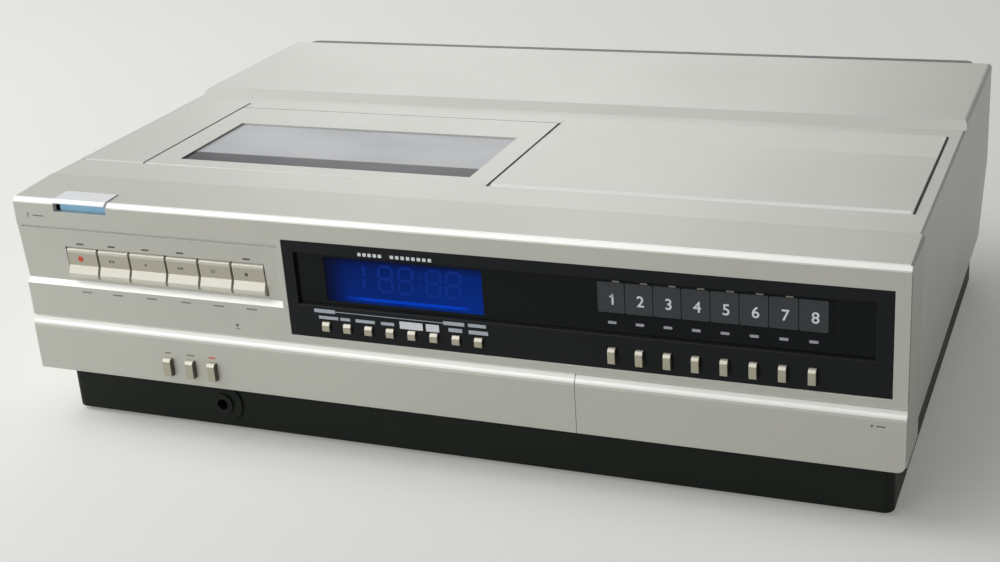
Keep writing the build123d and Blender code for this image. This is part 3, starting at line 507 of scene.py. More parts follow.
def smokedPane(name):
    paint = Finish(name, pane["sheenSmoke"], gloss=pane["gloss"])
    across, back = paint.places()[:2]
    haze = paint.noise(pane["hazeScale"], 5.0, pane["hazeStretch"])
    # painted pale sheen: the smoked plastic is given the pale colour of its reflection
    body = paint.mix(paint.ease(haze, *pane["hazeSpan"]), pane["sheenSmoke"], pane["sheenSmokeDark"])
    body = paint.mix(paint.ease(across, *pane["edgeAcross"]), body, pane["edge"])
    strip = paint.mix(paint.ease(across, *pane["stripAcross"]), pane["stripLeft"], pane["strip"])
    paint.set("Base Color", paint.mix(paint.ease(back, *pane["stripBack"]), body, strip))
    paint.set("Roughness", paint.ease(haze, *pane["roughnessSpan"], *pane["roughness"]))
    return paint.material


# Deck keys: painted shade on the face, between a pale top edge and a painted highlight on the lip
keyLook = {
    "face": colour(186, 181, 164),
    "litLip": colour(212, 208, 196),
    "edge": colour(212, 208, 192),
    "shadedFaceUp": (63.7, 71.1),
    "roughness": 0.3,
    "streakRoughness": 0.12,
    "metallic": 0.2,
    "streakScale": 900,
    "streakStretch": (0.1, 1, 1),
    "relief": (0.2, 0.02),
    "edgeRadius": 0.3,
    "edgeShare": 0.6,
}


def keyPaint(name):
    paint = Finish(name, keyLook["litLip"], metallic=keyLook["metallic"])
    up = paint.places()[2]
    streaks = paint.noise(keyLook["streakScale"], 2.0, keyLook["streakStretch"])
    rounded = paint.roundEdges(keyLook["edgeRadius"])
    # painted shade on the face that leans down, painted highlight on the lip that faces up
    body = paint.mix(inRange(up, *keyLook["shadedFaceUp"]), keyLook["litLip"], keyLook["face"])
    paint.set("Base Color", paint.mix(paint.edgeMask(rounded) * keyLook["edgeShare"], body, keyLook["edge"]))
    paint.set("Roughness", keyLook["roughness"] + streaks * keyLook["streakRoughness"])
    paint.relief(streaks, *keyLook["relief"], rounded)
    return paint.material


# Buttons: one beige, with a painted highlight on what faces up and painted shade on what faces left or right
buttonLook = {
    "front": colour(178, 173, 153),
    "side": colour(92, 88, 74),
    "top": colour(226, 222, 206),
    "edge": colour(212, 208, 192),
    "shadedSideTurn": 0.5,
    "litTopTurn": 0.3,
    "roughness": 0.38,
    "metallic": 0.2,
    "fleckScale": 3000,
    "fleckShare": 0.1,
    "relief": (0.2, 0.01),
    "edgeRadius": 0.35,
    "edgeShare": 0.3,
}


def buttonPaint(name):
    paint = Finish(name, buttonLook["front"], buttonLook["roughness"], buttonLook["metallic"])
    flecks = paint.noise(buttonLook["fleckScale"], 1.0)
    rounded = paint.roundEdges(buttonLook["edgeRadius"])
    facing = paint.split(paint.add("ShaderNodeNewGeometry", output="Normal"))
    aside, rising = facing[0], facing[2]
    # painted shade on the sides and a painted highlight on the top, by the way each face points
    sideShaded = paint.mix((aside * aside) > buttonLook["shadedSideTurn"], buttonLook["front"], buttonLook["side"])
    topLit = paint.mix(rising > buttonLook["litTopTurn"], sideShaded, buttonLook["top"])
    worn = paint.edgeMask(rounded) * buttonLook["edgeShare"] + flecks * buttonLook["fleckShare"]
    paint.set("Base Color", paint.mix(worn, topLit, buttonLook["edge"]))
    paint.relief(flecks, *buttonLook["relief"], rounded)
    return paint.material


# Eject key: a bright tab whose near white colour holds a painted highlight, with the blue stripe on the leaf
# below it
ejectLook = {
    "tab": colour(248, 249, 251),
    "haze": colour(204, 210, 218),
    "stripe": colour(160, 214, 250),
    "tabLow": 99.55,
    "roughness": 0.18,
    "hazeRoughness": 0.1,
    "metallic": 0.1,
    "coat": 0.3,
    "hazeScale": 60,
    "hazeShare": 0.3,
    "relief": (0.05, 0.02),
    "edgeRadius": 0.4,
}


def ejectBright(name):
    paint = Finish(name, ejectLook["tab"], metallic=ejectLook["metallic"], coat=ejectLook["coat"])
    up = paint.places()[2]
    haze = paint.noise(ejectLook["hazeScale"], 3.0)
    # painted highlight: the tab is set near white
    body = paint.mix(haze * ejectLook["hazeShare"], ejectLook["tab"], ejectLook["haze"])
    paint.set("Base Color", paint.mix(up < ejectLook["tabLow"], body, ejectLook["stripe"]))
    paint.set("Roughness", ejectLook["roughness"] + haze * ejectLook["hazeRoughness"])
    paint.relief(haze, *ejectLook["relief"], paint.roundEdges(ejectLook["edgeRadius"]))
    return paint.material


# Sheet and machined metals, streaked along their grain
sheets = {
    "screwSteel": {"tone": colour(176, 176, 174), "roughness": 0.3, "grain": (1, 1, 1), "scale": 2000},
    "zincSheet": {"tone": colour(196, 199, 198), "roughness": 0.36, "grain": (0.05, 1, 1), "scale": 400},
    "machinedSteel": {"tone": colour(190, 191, 192), "roughness": 0.28, "grain": (1, 1, 0.1), "scale": 900},
    "socketPlate": {"tone": colour(182, 182, 180), "roughness": 0.3, "grain": (0.05, 1, 1), "scale": 400},
}
sheetLook = {
    "shade": 0.8,
    "spangleScale": 90,
    "spangleSpan": (0.4, 0.7),
    "roughnessSpread": 0.16,
    "relief": (0.2, 0.02),
    "edgeRadius": 0.25,
}


def sheetMetal(name):
    sheet = sheets[name]
    paint = Finish(name, sheet["tone"], metallic=1.0)
    streaks = paint.noise(sheet["scale"], 3.0, sheet["grain"])
    spangle = paint.noise(sheetLook["spangleScale"], 2.0)
    rounded = paint.roundEdges(sheetLook["edgeRadius"])
    dark = shaded(sheet["tone"], sheetLook["shade"])
    paint.set("Base Color", paint.mix(paint.ease(spangle, *sheetLook["spangleSpan"]), sheet["tone"], dark))
    paint.set("Roughness", sheet["roughness"] + (streaks - 0.5) * sheetLook["roughnessSpread"])
    paint.relief(streaks, *sheetLook["relief"], rounded)
    return paint.material


# Turned metal of the head drum, with fine rings round its axis
drum = {
    "across": 140.0,
    "back": 246.0,
    "pale": colour(222, 224, 226),
    "dark": colour(196, 199, 203),
    "roughness": 0.2,
    "smearRoughness": 0.12,
    "smearScale": 40,
    "ringTurn": 4.0,
    "bandTurn": 9.0,
    "relief": (0.25, 0.02),
    "edgeRadius": 0.3,
}


def turnedAluminium(name):
    paint = Finish(name, drum["pale"], metallic=1.0)
    across, back, up = paint.places()
    sideways = across - drum["across"]
    behind = back - drum["back"]
    radius = (sideways * sideways + behind * behind).sum("POWER", 0.5)
    rings = (radius * drum["ringTurn"] + up * drum["bandTurn"]).sum("SINE", 0.0)
    smear = paint.noise(drum["smearScale"], 3.0)
    paint.set("Base Color", paint.mix(smear, drum["pale"], drum["dark"]))
    paint.set("Roughness", drum["roughness"] + smear * drum["smearRoughness"])
    paint.relief(rings, *drum["relief"], paint.roundEdges(drum["edgeRadius"]))
    return paint.material


# Motor: smooth enamel with a faint peel
motor = {
    "pale": colour(134, 137, 142),
    "dark": colour(108, 111, 116),
    "roughness": 0.4,
    "metallic": 0.3,
    "peelScale": 700,
    "peelShare": 0.4,
    "relief": (0.25, 0.03),
    "edgeRadius": 0.4,
}


def motorEnamel(name):
    paint = Finish(name, motor["pale"], motor["roughness"], motor["metallic"])
    peel = paint.noise(motor["peelScale"], 2.0)
    paint.set("Base Color", paint.mix(peel * motor["peelShare"], motor["pale"], motor["dark"]))
    paint.relief(peel, *motor["relief"], paint.roundEdges(motor["edgeRadius"]))
    return paint.material


# Reel tables: dark moulding, worn pale along its edges
reel = {
    "tone": colour(64, 64, 67),
    "worn": colour(120, 120, 122),
    "roughness": 0.36,
    "grainRoughness": 0.14,
    "grainScale": 1200,
    "relief": (0.3, 0.03),
    "edgeRadius": 0.3,
    "edgeShare": 0.6,
}


def reelMoulding(name):
    paint = Finish(name, reel["tone"])
    grain = paint.noise(reel["grainScale"], 2.0)
    rounded = paint.roundEdges(reel["edgeRadius"])
    worn = paint.edgeMask(rounded) * reel["edgeShare"]
    paint.set("Base Color", paint.mix(worn, reel["tone"], reel["worn"]))
    paint.set("Roughness", reel["roughness"] + grain * reel["grainRoughness"])
    paint.relief(grain, *reel["relief"], rounded)
    return paint.material


# Circuit board: lacquered, with greenish lanes in place of its tracks
board = {
    "pale": colour(140, 112, 62),
    "dark": colour(112, 90, 48),
    "lane": colour(88, 92, 40),
    "roughness": 0.36,
    "coat": 0.4,
    "laneAcross": 0.9,
    "laneBack": 0.7,
    "laneLeast": 0.25,
    "laneShare": 0.35,
    "relief": (0.2, 0.03),
    "mottleScale": 60,
}


def lacqueredBoard(name):
    paint = Finish(name, board["pale"], board["roughness"], coat=board["coat"])
    across, back = paint.places()[:2]
    waves = (across * board["laneAcross"]).sum("SINE", 0.0) * (back * board["laneBack"]).sum("SINE", 0.0)
    lanes = waves > board["laneLeast"]
    mottled = paint.mix(paint.noise(board["mottleScale"], 4.0), board["pale"], board["dark"])
    paint.set("Base Color", paint.mix(lanes * board["laneShare"], mottled, board["lane"]))
    paint.relief(lanes, *board["relief"])
    return paint.material


# Transformer: varnished iron plates, seen as fine lines across
iron = {
    "pale": colour(96, 94, 90),
    "dark": colour(66, 58, 50),
    "roughness": 0.4,
    "metallic": 0.6,
    "plateTurn": 9.0,
    "relief": (0.4, 0.1),
    "blotScale": 50,
}


def varnishedIron(name):
    paint = Finish(name, iron["pale"], iron["roughness"], iron["metallic"])
    plates = (paint.places()[0] * iron["plateTurn"]).sum("SINE", 0.0)
    paint.set("Base Color", paint.mix(paint.noise(iron["blotScale"], 4.0), iron["pale"], iron["dark"]))
    paint.relief(plates, *iron["relief"])
    return paint.material


# Inks and small finishes of the added pieces
inkLook = {
    "roughness": 0.45,
    "roughnessSpread": 0.15,
    "tooth": 0.12,
    "gloss": 0.3,
    "wearScale": 700,
    "wearSpan": (0.35, 0.75),
}


def ink(name, tone, roughness=inkLook["roughness"], tooth=inkLook["tooth"]):
    paint = Finish(name, tone, gloss=inkLook["gloss"])
    wear = paint.noise(inkLook["wearScale"], 3.0)
    faded = shaded(tone, 1 + tooth)
    paint.set("Base Color", paint.mix(paint.ease(wear, *inkLook["wearSpan"]), tone, faded))
    paint.set("Roughness", roughness + (wear - 0.5) * inkLook["roughnessSpread"])
    return paint.material


# Figures of the display, faint blue with a painted glow
segmentLook = {
    "tone": colour(10, 46, 134),
    "roughness": 0.3,
    "gloss": 0.05,
    "paintedGlow": 0.25,
    "hazeScale": 300,
    "hazeShare": 0.3,
}


def glowing(name):
    paint = Finish(name, segmentLook["tone"], segmentLook["roughness"], gloss=segmentLook["gloss"])
    haze = paint.noise(segmentLook["hazeScale"]) * segmentLook["hazeShare"]
    # painted glow on the unlit figures
    paint.set("Emission Color", paint.mix(haze, segmentLook["tone"], display["deep"]))
    paint.set("Emission Strength", segmentLook["paintedGlow"])
    return paint.material


finishes = {
    "black_plastic": blackPlastic("blackPlastic"),
    "rubber": rubberFinish("footRubber"),
    "silver_front": silverPaint("silverFront", silver["front"], brightLedges),
    "silver_cover": silverPaint("silverCover", silver["cover"], coverLines),
    "gloss_black": windowGloss("windowGloss"),
    "blue_filter": filterBlue("filterBlue"),
    "smoked_window": smokedPane("smokedPane"),
    "screw_steel": sheetMetal("screwSteel"),
    "zinc_steel": sheetMetal("zincSheet"),
    "drum_aluminium": turnedAluminium("turnedAluminium"),
    "mechanism_metal": sheetMetal("machinedSteel"),
    "motor_casing": motorEnamel("motorEnamel"),
    "reel_plastic": reelMoulding("reelMoulding"),
    "belt_rubber": rubberFinish("beltRubber"),
    "circuit_board": lacqueredBoard("lacqueredBoard"),
    "transformer_iron": varnishedIron("varnishedIron"),
    "socket_metal": sheetMetal("socketPlate"),
    "eject_finish": ejectBright("ejectBright"),
    "key_beige": keyPaint("keyPaint"),
    "button_beige": buttonPaint("buttonPaint"),
}
whiteInk = ink("whiteInk", colour(224, 227, 232))
legendInk = ink("legendInk", colour(176, 184, 194))
darkInk = ink("darkInk", colour(88, 86, 79), tooth=0.4)
greyInk = ink("greyInk", colour(128, 126, 118), tooth=0.25)
redInk = ink("redInk", colour(214, 84, 66))
stripeBlue = ink("stripeBlue", ejectLook["stripe"], 0.3)
grooveShade = ink("grooveShade", colour(84, 85, 80), 0.6)
lampGrey = ink("lampGrey", colour(168, 170, 178), 0.3)
plateGrey = ink("plateGrey", colour(54, 58, 62), 0.3, 0.15)
seamPaintedLight = ink("seamPaintedLight", colour(158, 159, 152), 0.5)
recessShade = ink("recessShade", colour(40, 40, 38), 0.6, 0.3)
segmentBlue = glowing("segmentBlue")

for piece in nodes.values():
    slotName = piece.data.materials[0].name
    piece.data.materials.clear()
    piece.data.materials.append(finishes[slotName])
print("finishes made,", len(finishes))


# Small printed or fitted pieces: closed thin slabs, drawn in millimetres on a face of the recorder
sink = 0.02  # a slab's foot stands this deep in its face
samePoint = 1e-7


def madeObject(name, shape, material):
    mesh = bpy.data.meshes.new(name)
    shape.to_mesh(mesh)
    shape.free()
    mesh.materials.append(material)
    made = bpy.data.objects.new(name, mesh)
    bpy.context.scene.collection.objects.link(made)
    return made


def keepPiece(name, shape, material, body):
    bmesh.ops.remove_doubles(shape, verts=shape.verts, dist=samePoint)
    bmesh.ops.recalc_face_normals(shape, faces=shape.faces)
    piece = madeObject(name, shape, material)
    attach(piece, body)


def bar(across, up, width, height, corner=0.0, steps=4):
    if corner <= 0:
        half, rise = width / 2, height / 2
        return [(across - half, up - rise), (across + half, up - rise),
                (across + half, up + rise), (across - half, up + rise)]
    points = []
    for quarter, (side, lift) in enumerate(((1, 1), (-1, 1), (-1, -1), (1, -1))):
        middle = (across + side * (width / 2 - corner), up + lift * (height / 2 - corner))
        for step in range(steps + 1):
            angle = math.radians(90 * quarter + 90 * step / steps)
            points.append((middle[0] + corner * math.cos(angle), middle[1] + corner * math.sin(angle)))
    return points


def disc(across, up, radius, sides=24):
    angles = [2 * math.pi * i / sides for i in range(sides)]
    return [(across + radius * math.cos(angle), up + radius * math.sin(angle)) for angle in angles]


rightwards, upwards, leftwards, downwards = 0, 90, 180, 270


def arrow(across, up, size, heading):
    # a triangle that points along the heading, in degrees
    angles = [math.radians(heading + turn) for turn in (0, 120, 240)]
    return [(across + size * math.cos(a), up + size * math.sin(a)) for a in angles]


def addSlabs(shape, outlines, place, thick):
    for outline in outlines:
        low = [shape.verts.new(place(u, v, -sink)) for u, v in outline]
        high = [shape.verts.new(place(u, v, thick)) for u, v in outline]
        shape.faces.new(high)
        shape.faces.new(low[::-1])
        for i in range(len(outline)):
            j = (i + 1) % len(outline)
            shape.faces.new((low[i], low[j], high[j], high[i]))


def printed(name, outlines, place, material, body="casing", thick=0.06):
    shape = bmesh.new()
    addSlabs(shape, outlines, place, thick)
    keepPiece(name, shape, material, body)


# The flag of a 1, as shares of the number's size
oneFlag = ((0.03, 0.37), (-0.19, 0.25), (-0.19, 0.15), (0.03, 0.25))


def numerals(name, places, place, look):
    # plain numbers 1, 2, 3 and on, centred on the places given as (across, up)
    size, thick = look["size"], look["thick"]
    shape = bmesh.new()
    for number, (across, up) in enumerate(places, 1):
        words = bpy.data.curves.new("numeral", "FONT")
        words.body = str(number)
        words.size = size
        words.offset = look["weight"]
        words.extrude = thick / 2
        words.align_x = "CENTER"
        words.align_y = "CENTER"
        holder = bpy.data.objects.new("numeral", words)
        mesh = bpy.data.meshes.new_from_object(holder)
        for vertex in mesh.vertices:
            u, v, w = vertex.co
            vertex.co = place(across + u, up + v, w + thick / 2 - sink)
        shape.from_mesh(mesh)
        bpy.data.objects.remove(holder)
        bpy.data.curves.remove(words)
        bpy.data.meshes.remove(mesh)
        if number == 1:
            flag = [(across + u * size, up + v * size) for u, v in oneFlag]
            addSlabs(shape, [flag], place, thick - sink)
    keepPiece(name, shape, whiteInk, "casing")


# Rows of rounded plates, made with Geometry Nodes
cornerSteps = 4
mergeReach = 1e-6


def plateRowTree(name, material):
    group = bpy.data.node_groups.new(name, "GeometryNodeTree")
    group.is_modifier = True
    group.interface.new_socket("Geometry", in_out="OUTPUT", socket_type="NodeSocketGeometry")
    kinds = {
        **dict.fromkeys(("Count", "Rows"), "NodeSocketInt"),
        **dict.fromkeys(("Start", "Step", "Rise", "Turn"), "NodeSocketVector"),
        **dict.fromkeys(("Width", "Height", "Corner", "Thick"), "NodeSocketFloat"),
    }
    for title, kind in kinds.items():
        group.interface.new_socket(title, in_out="INPUT", socket_type=kind)
    tree = Tree(group)
    given = group.nodes.new("NodeGroupInput")
    sizes = {title: Wire(tree, given.outputs[title]) for title in kinds}
    outline = tree.add("GeometryNodeCurvePrimitiveQuadrilateral",
                       values={"Width": sizes["Width"], "Height": sizes["Height"]})
    rounded = tree.add("GeometryNodeFilletCurve", {"mode": "POLY"}, {
        "Curve": outline, "Count": cornerSteps, "Radius": sizes["Corner"], "Limit Radius": True})
    face = tree.add("GeometryNodeFillCurve", {"mode": "NGONS"}, {"Curve": rounded})
    raised = tree.add("GeometryNodeExtrudeMesh", values={"Mesh": face, "Offset Scale": sizes["Thick"]})
    under = tree.add("GeometryNodeFlipFaces", values={"Mesh": face})
    plate = tree.add("GeometryNodeJoinGeometry")
    for part in (raised, under):
        group.links.new(part.socket, plate.socket.node.inputs[0])
    closed = tree.add("GeometryNodeMergeByDistance", values={"Geometry": plate, "Distance": mergeReach})
    turned = tree.add("GeometryNodeTransform", values={"Geometry": closed, "Rotation": sizes["Turn"]})
    row = tree.add("GeometryNodeMeshLine", {"mode": "OFFSET"}, {
        "Count": sizes["Count"], "Start Location": sizes["Start"], "Offset": sizes["Step"]})
    column = tree.add("GeometryNodeMeshLine", {"mode": "OFFSET"}, {
        "Count": sizes["Rows"], "Offset": sizes["Rise"]})
    lines = tree.add("GeometryNodeInstanceOnPoints", values={"Points": row, "Instance": column})
    points = tree.add("GeometryNodeRealizeInstances", values={"Geometry": lines})
    copies = tree.add("GeometryNodeInstanceOnPoints", values={"Points": points, "Instance": turned})
    real = tree.add("GeometryNodeRealizeInstances", values={"Geometry": copies})
    dressed = tree.add("GeometryNodeSetMaterial", values={"Geometry": real, "Material": material})
    result = group.nodes.new("NodeGroupOutput")
    group.links.new(dressed.socket, result.inputs["Geometry"])
    return group


def grown(name, group, settings, material):
    # runs a tree once and keeps its result as a plain mesh
    host = bpy.data.objects.new(name + "Host", bpy.data.meshes.new(name + "Host"))
    bpy.context.scene.collection.objects.link(host)
    modifier = host.modifiers.new("shape", "NODES")
    modifier.node_group = group
    for item in group.interface.items_tree:
        if item.in_out == "INPUT":
            modifier[item.identifier] = settings[item.name]
    bpy.context.view_layer.update()
    ready = host.evaluated_get(bpy.context.evaluated_depsgraph_get())
    mesh = bpy.data.meshes.new_from_object(ready)
    shape = bmesh.new()
    shape.from_mesh(mesh)
    host.modifiers.remove(modifier)
    bpy.data.objects.remove(host)
    bpy.data.meshes.remove(mesh)
    keepPiece(name, shape, material, "casing")


# Turns that make a plate lying flat face the front or the rear
upright = (math.pi / 2, 0.0, 0.0)
rearward = (-math.pi / 2, 0.0, 0.0)


def plateRow(name, row, material):
    settings = {
        "Count": row["count"],
        "Rows": row.get("rows", 1),
        "Start": at(row["first"], row["back"], row["up"]),
        "Step": Vector((row["pitch"], 0, 0)) * mm,
        "Rise": Vector((0, 0, row.get("rise", 0))) * mm,
        "Turn": row.get("turn", upright),
        "Width": row["width"] * mm,
        "Height": row["height"] * mm,
        "Corner": row["corner"] * mm,
        "Thick": row["thick"] * mm,
    }
    grown(name, plateRowTree(name + "Tree", material), settings, material)


# Number strip of the window: eight grey plates, plain numbers, lamps below and tabs along the top
channel = {"first": 341.0, "pitch": 13.73, "count": 8}
channelPlaces = [channel["first"] + channel["pitch"] * i for i in range(channel["count"])]
padFace = 1.7
numberPlates = {**channel, "back": padFace + 0.02, "up": 73.5, "width": 13.35, "height": 15.6,
                "corner": 0.7, "thick": 0.5}
channelLamps = {**channel, "back": 2.22, "up": 60.3, "width": 4.2, "height": 1.3, "corner": 0.4,
                "thick": 0.5}
plateTabs = {**channel, "first": channel["first"] + 2.8, "count": 7, "back": 1.3, "up": 82.0, "width": 3.6,
             "height": 0.7, "corner": 0.3, "thick": 0.4}
plateRow("numberPlates", numberPlates, plateGrey)
plateRow("channelLamps", channelLamps, lampGrey)
plateRow("plateTabs", plateTabs, greyInk)

channelNumbers = {"shift": 0.8, "up": 72.3, "back": padFace - 0.48, "size": 7.8, "thick": 0.08, "weight": 0.1}
numerals("channelNumbers", [(x + channelNumbers["shift"], channelNumbers["up"]) for x in channelPlaces],
         onFront(channelNumbers["back"]), channelNumbers)


# Display: ghost figures behind the blue filter, drawn as seven-part figures
figures = {"up": 71.6, "height": 13.6, "width": 7.4, "stroke": 1.6, "gap": 0.35, "lean": 0.06,
           "places": (221.8, 233.0, 248.2, 259.0), "narrow": 209.8,
           "colon": 240.6, "colonSize": 1.2, "colonApart": 0.7}


def segment(across, up, length, standing):
    half, tip = length / 2, figures["stroke"] / 2
    flat = [(-half, 0), (tip - half, -tip), (half - tip, -tip),
            (half, 0), (half - tip, tip), (tip - half, tip)]
    return [(across - v, up + u) if standing else (across + u, up + v) for u, v in flat]


def figureShapes():
    shapes = []
    reach = figures["height"] / 2
    lying = figures["width"] - 2 * figures["gap"]
    standing = reach - 2 * figures["gap"]
    for middle in figures["places"]:
        for level in (-1, 0, 1):
            shapes.append(segment(middle, level * reach, lying, False))
        for side in (-1, 1):
            for level in (-0.5, 0.5):
                shapes.append(segment(middle + side * figures["width"] / 2, level * reach, standing, True))
    for level in (-0.5, 0.5):
        shapes.append(segment(figures["narrow"], level * reach, standing, True))
        shapes.append(bar(figures["colon"], level * reach * figures["colonApart"],
                          figures["colonSize"], figures["colonSize"]))
    return [[(u + v * figures["lean"], v + figures["up"]) for u, v in outline] for outline in shapes]


printed("displayFigures", figureShapes(), onFront(display["front"]), segmentBlue)

# White marks in the window: two groups of plain blocks above the display
windowFace = 0.1
blocks = {"back": windowFace, "up": 84.9, "width": 1.9, "height": 1.8, "corner": 0.3, "thick": 0.06}
plateRow("dayMarks", {**blocks, "first": 209.6, "pitch": 2.85, "count": 5}, whiteInk)
plateRow("programMarks", {**blocks, "first": 227.6, "pitch": 2.95, "count": 8}, whiteInk)

# Plain blocks over the timer buttons, each as across, up, width and height
legend = {
    "corner": 0.15,
    "words": (
        (186.1, 51.7, 12.0, 2.0), (222.3, 51.8, 61.0, 0.35), (258.5, 51.9, 11.4, 2.0),
        (271.0, 52.0, 9.6, 1.8), (188.0, 48.1, 11.2, 1.7), (197.6, 48.1, 5.6, 1.7),
        (209.0, 48.1, 11.0, 1.7), (221.6, 48.1, 7.4, 1.7), (259.1, 48.4, 7.4, 2.0),
        (271.5, 48.3, 10.4, 2.1)),
    "boxes": ((234.8, 48.3, 12.8, 4.0), (246.6, 48.3, 7.2, 4.0)),
}
for name, kind, material in (("timerLegend", "words", legendInk), ("timerBoxes", "boxes", whiteInk)):
    outlines = [bar(*block, legend["corner"]) for block in legend[kind]]
    printed(name, outlines, onFront(windowFace), material)

# Marks on the deck keys: a record spot, then rewind, play, forward, pause and stop signs
keys = {"start": 29.5, "pitch": 20.2, "wide": 2.8, "gap": 1.4}
keyNames = ("record", "rewind", "play", "fast_forward", "pause", "stop")
keyFace = onSlope((1.6, 63.7), (1.0, 72.6))
wedgeFace = onSlope((2.6, 53.7), (0.4, 85.2))
signs = {"up": 67.5, "shift": -1.3, "spot": 1.7, "arrow": 1.1, "pauseBar": (0.6, 1.9), "square": (1.9, 1.9),
         "rewind": (-1.1, 0.9), "fast_forward": (-0.9, 1.1), "pause": (-0.7, 0.7)}
dash = {"up": 76.4, "size": (4.6, 1.0, 0.2)}
keyLegend = {"up": 48.5, "size": (6.4, 0.8, 0.2)}


def keyMiddles():
    middles, start = [], keys["start"]
    for name in keyNames:
        width = keys["pitch"] + (keys["wide"] if name == "play" else 0)
        middles.append(start + (width - keys["gap"]) / 2)
        start += width
    return middles


def keySigns(name, middle):
    up = signs["up"]
    middle += signs["shift"]
    if name == "record":
        return [disc(middle, up, signs["spot"])]
    if name == "play":
        return [arrow(middle, up, signs["arrow"], rightwards)]
    if name == "stop":
        return [bar(middle, up, *signs["square"])]
    if name == "pause":
        return [bar(middle + shift, up, *signs["pauseBar"]) for shift in signs[name]]
    heading = leftwards if name == "rewind" else rightwards
    return [arrow(middle + shift, up, signs["arrow"], heading) for shift in signs[name]]


for name, middle in zip(keyNames, keyMiddles()):
    printed(name + "Sign", keySigns(name, middle), keyFace, redInk if name == "record" else darkInk,
            name + "_key_body")
dashed = [middle for name, middle in zip(keyNames, keyMiddles()) if name != "pause"]
printed("keyDashes", [bar(x, dash["up"], *dash["size"]) for x in dashed], wedgeFace, darkInk)
legendBars = [bar(x, keyLegend["up"], *keyLegend["size"]) for x in keyMiddles()]
printed("keyLegends", legendBars, onFront(0.0), greyInk)
print("window and keys marked")

# Marks on the rest of the silver front: discs and arrows as across, up and size, bars with width and height
frontMarks = {
    "dot": (132.5, 38.4, 0.8),
    "dotLine": (132.5, 36.4, 3.2, 0.3),
    "pushLeft": (86.6, 17.9, 3.6, 0.8),
    "pushMiddle": (101.0, 17.9, 4.6, 0.8),
    "pushRight": (114.5, 17.9, 4.2, 0.8),
    "ejectArrow": (8.6, 92.3, 1.0),
    "ejectLine": (8.6, 90.9, 1.9, 0.4),
    "ejectWord": (15.4, 91.6, 7.0, 0.7),
    "flapArrow": (464.5, 22.8, 0.9),
    "flapWord": (468.5, 22.8, 4.2, 0.6),
}
lowerFront = onFront(-lowerStep)
printed("frontDot", [disc(*frontMarks["dot"]), bar(*frontMarks["dotLine"])], onFront(0.0), darkInk)
printed("pushLegends", [bar(*frontMarks["pushLeft"]), bar(*frontMarks["pushMiddle"])], lowerFront, greyInk)
printed("pushLegendRed", [bar(*frontMarks["pushRight"])], lowerFront, redInk)
ejectBars = [bar(*frontMarks["ejectLine"]), bar(*frontMarks["ejectWord"])]
printed("ejectSign", [arrow(*frontMarks["ejectArrow"], upwards)] + ejectBars, onFront(0.0), greyInk)
flapMarks = [arrow(*frontMarks["flapArrow"], downwards), bar(*frontMarks["flapWord"])]
printed("flapArrow", flapMarks, lowerFront, darkInk, "flap")

# Leaf of the eject key that shows blue through the slot
ejectLeaf = {"across": 43.8, "up": 96.8, "width": 30.8, "height": 7.4, "back": 4.84, "thick": 1.4}
leafOutline = bar(ejectLeaf["across"], ejectLeaf["up"], ejectLeaf["width"], ejectLeaf["height"])
printed("ejectLeaf", [leafOutline], onFront(ejectLeaf["back"]), stripeBlue, "eject",
        thick=ejectLeaf["thick"])

# Painted shade: dark grey floors in the two grooves beside the raised parts of the cover
grooves = {"middles": (3.0, 471.6), "back": 123.0, "width": 1.2, "length": 122.0, "up": 101.8}
grooveOutlines = [bar(x, grooves["back"], grooves["width"], grooves["length"]) for x in grooves["middles"]]
printed("grooveShadeFloors", grooveOutlines, onTop(grooves["up"]), grooveShade)

# Strip of the cover behind the lid, hollowed to clear the lid's round rear edge as it turns
hingeStrip = {"left": 43.42, "right": 255.38, "hinge": (172.6, 98.0), "clear": 5.2, "top": 4.7, "foot": 3.1,
              "back": 177.98, "steps": 5}


def hingeStripOutline():
    hingeBack, hingeUp = hingeStrip["hinge"]
    rises = [hingeStrip["foot"] + (hingeStrip["top"] - hingeStrip["foot"]) * step / hingeStrip["steps"]
             for step in range(hingeStrip["steps"] + 1)]
    hollow = [(hingeBack + math.sqrt(hingeStrip["clear"] ** 2 - rise ** 2), hingeUp + rise) for rise in rises]
    return [(hingeStrip["back"], hollow[-1][1]), (hingeStrip["back"], hollow[0][1])] + hollow


printed("hingeStrip", [hingeStripOutline()], onRightSide(hingeStrip["left"]), finishes["silver_cover"],
        thick=hingeStrip["right"] - hingeStrip["left"])

# Painted light: a pale strip in the gap on the left of the lid, over the gap's shade
lidSeam = {"across": 44.0, "back": 120.0, "width": 1.1, "length": 114.0, "up": 101.9, "thick": 0.5}
seamOutline = bar(lidSeam["across"], lidSeam["back"], lidSeam["width"], lidSeam["length"])
printed("lidSeam", [seamOutline], onTop(lidSeam["up"]), seamPaintedLight,
        thick=lidSeam["thick"])

# Preset tray behind the flap: plain numbers over the wheels
presetNumbers = {"up": 27.4, "back": 14.98, "size": 3.0, "thick": 0.05, "weight": 0.03}
numerals("presetNumbers", [(x, presetNumbers["up"]) for x in channelPlaces], onFront(presetNumbers["back"]),
         presetNumbers)

# Rear: cross recesses in the four screws, drawn as dark slabs of painted shade, pins in the aerial sockets
rearFace = 330.0
crosses = {"first": 34.0, "pitch": 412.0, "count": 2, "rows": 2, "up": -12.0, "rise": 102.2,
           "back": rearFace + 1.6, "turn": rearward, "corner": 0.1, "thick": 0.05}
pins = {"across": (78.0, 104.0), "up": 54.0, "back": rearFace - 1.0, "radius": 1.2, "length": 4.6}
plateRow("screwSlotsAcross", {**crosses, "width": 3.4, "height": 0.7}, recessShade)
plateRow("screwSlotsUp", {**crosses, "width": 0.7, "height": 3.4}, recessShade)
printed("aerialPins", [disc(x, pins["up"], pins["radius"]) for x in pins["across"]], onRear(pins["back"]),
        finishes["socket_metal"], thick=pins["length"])
print("cover and rear dressed")


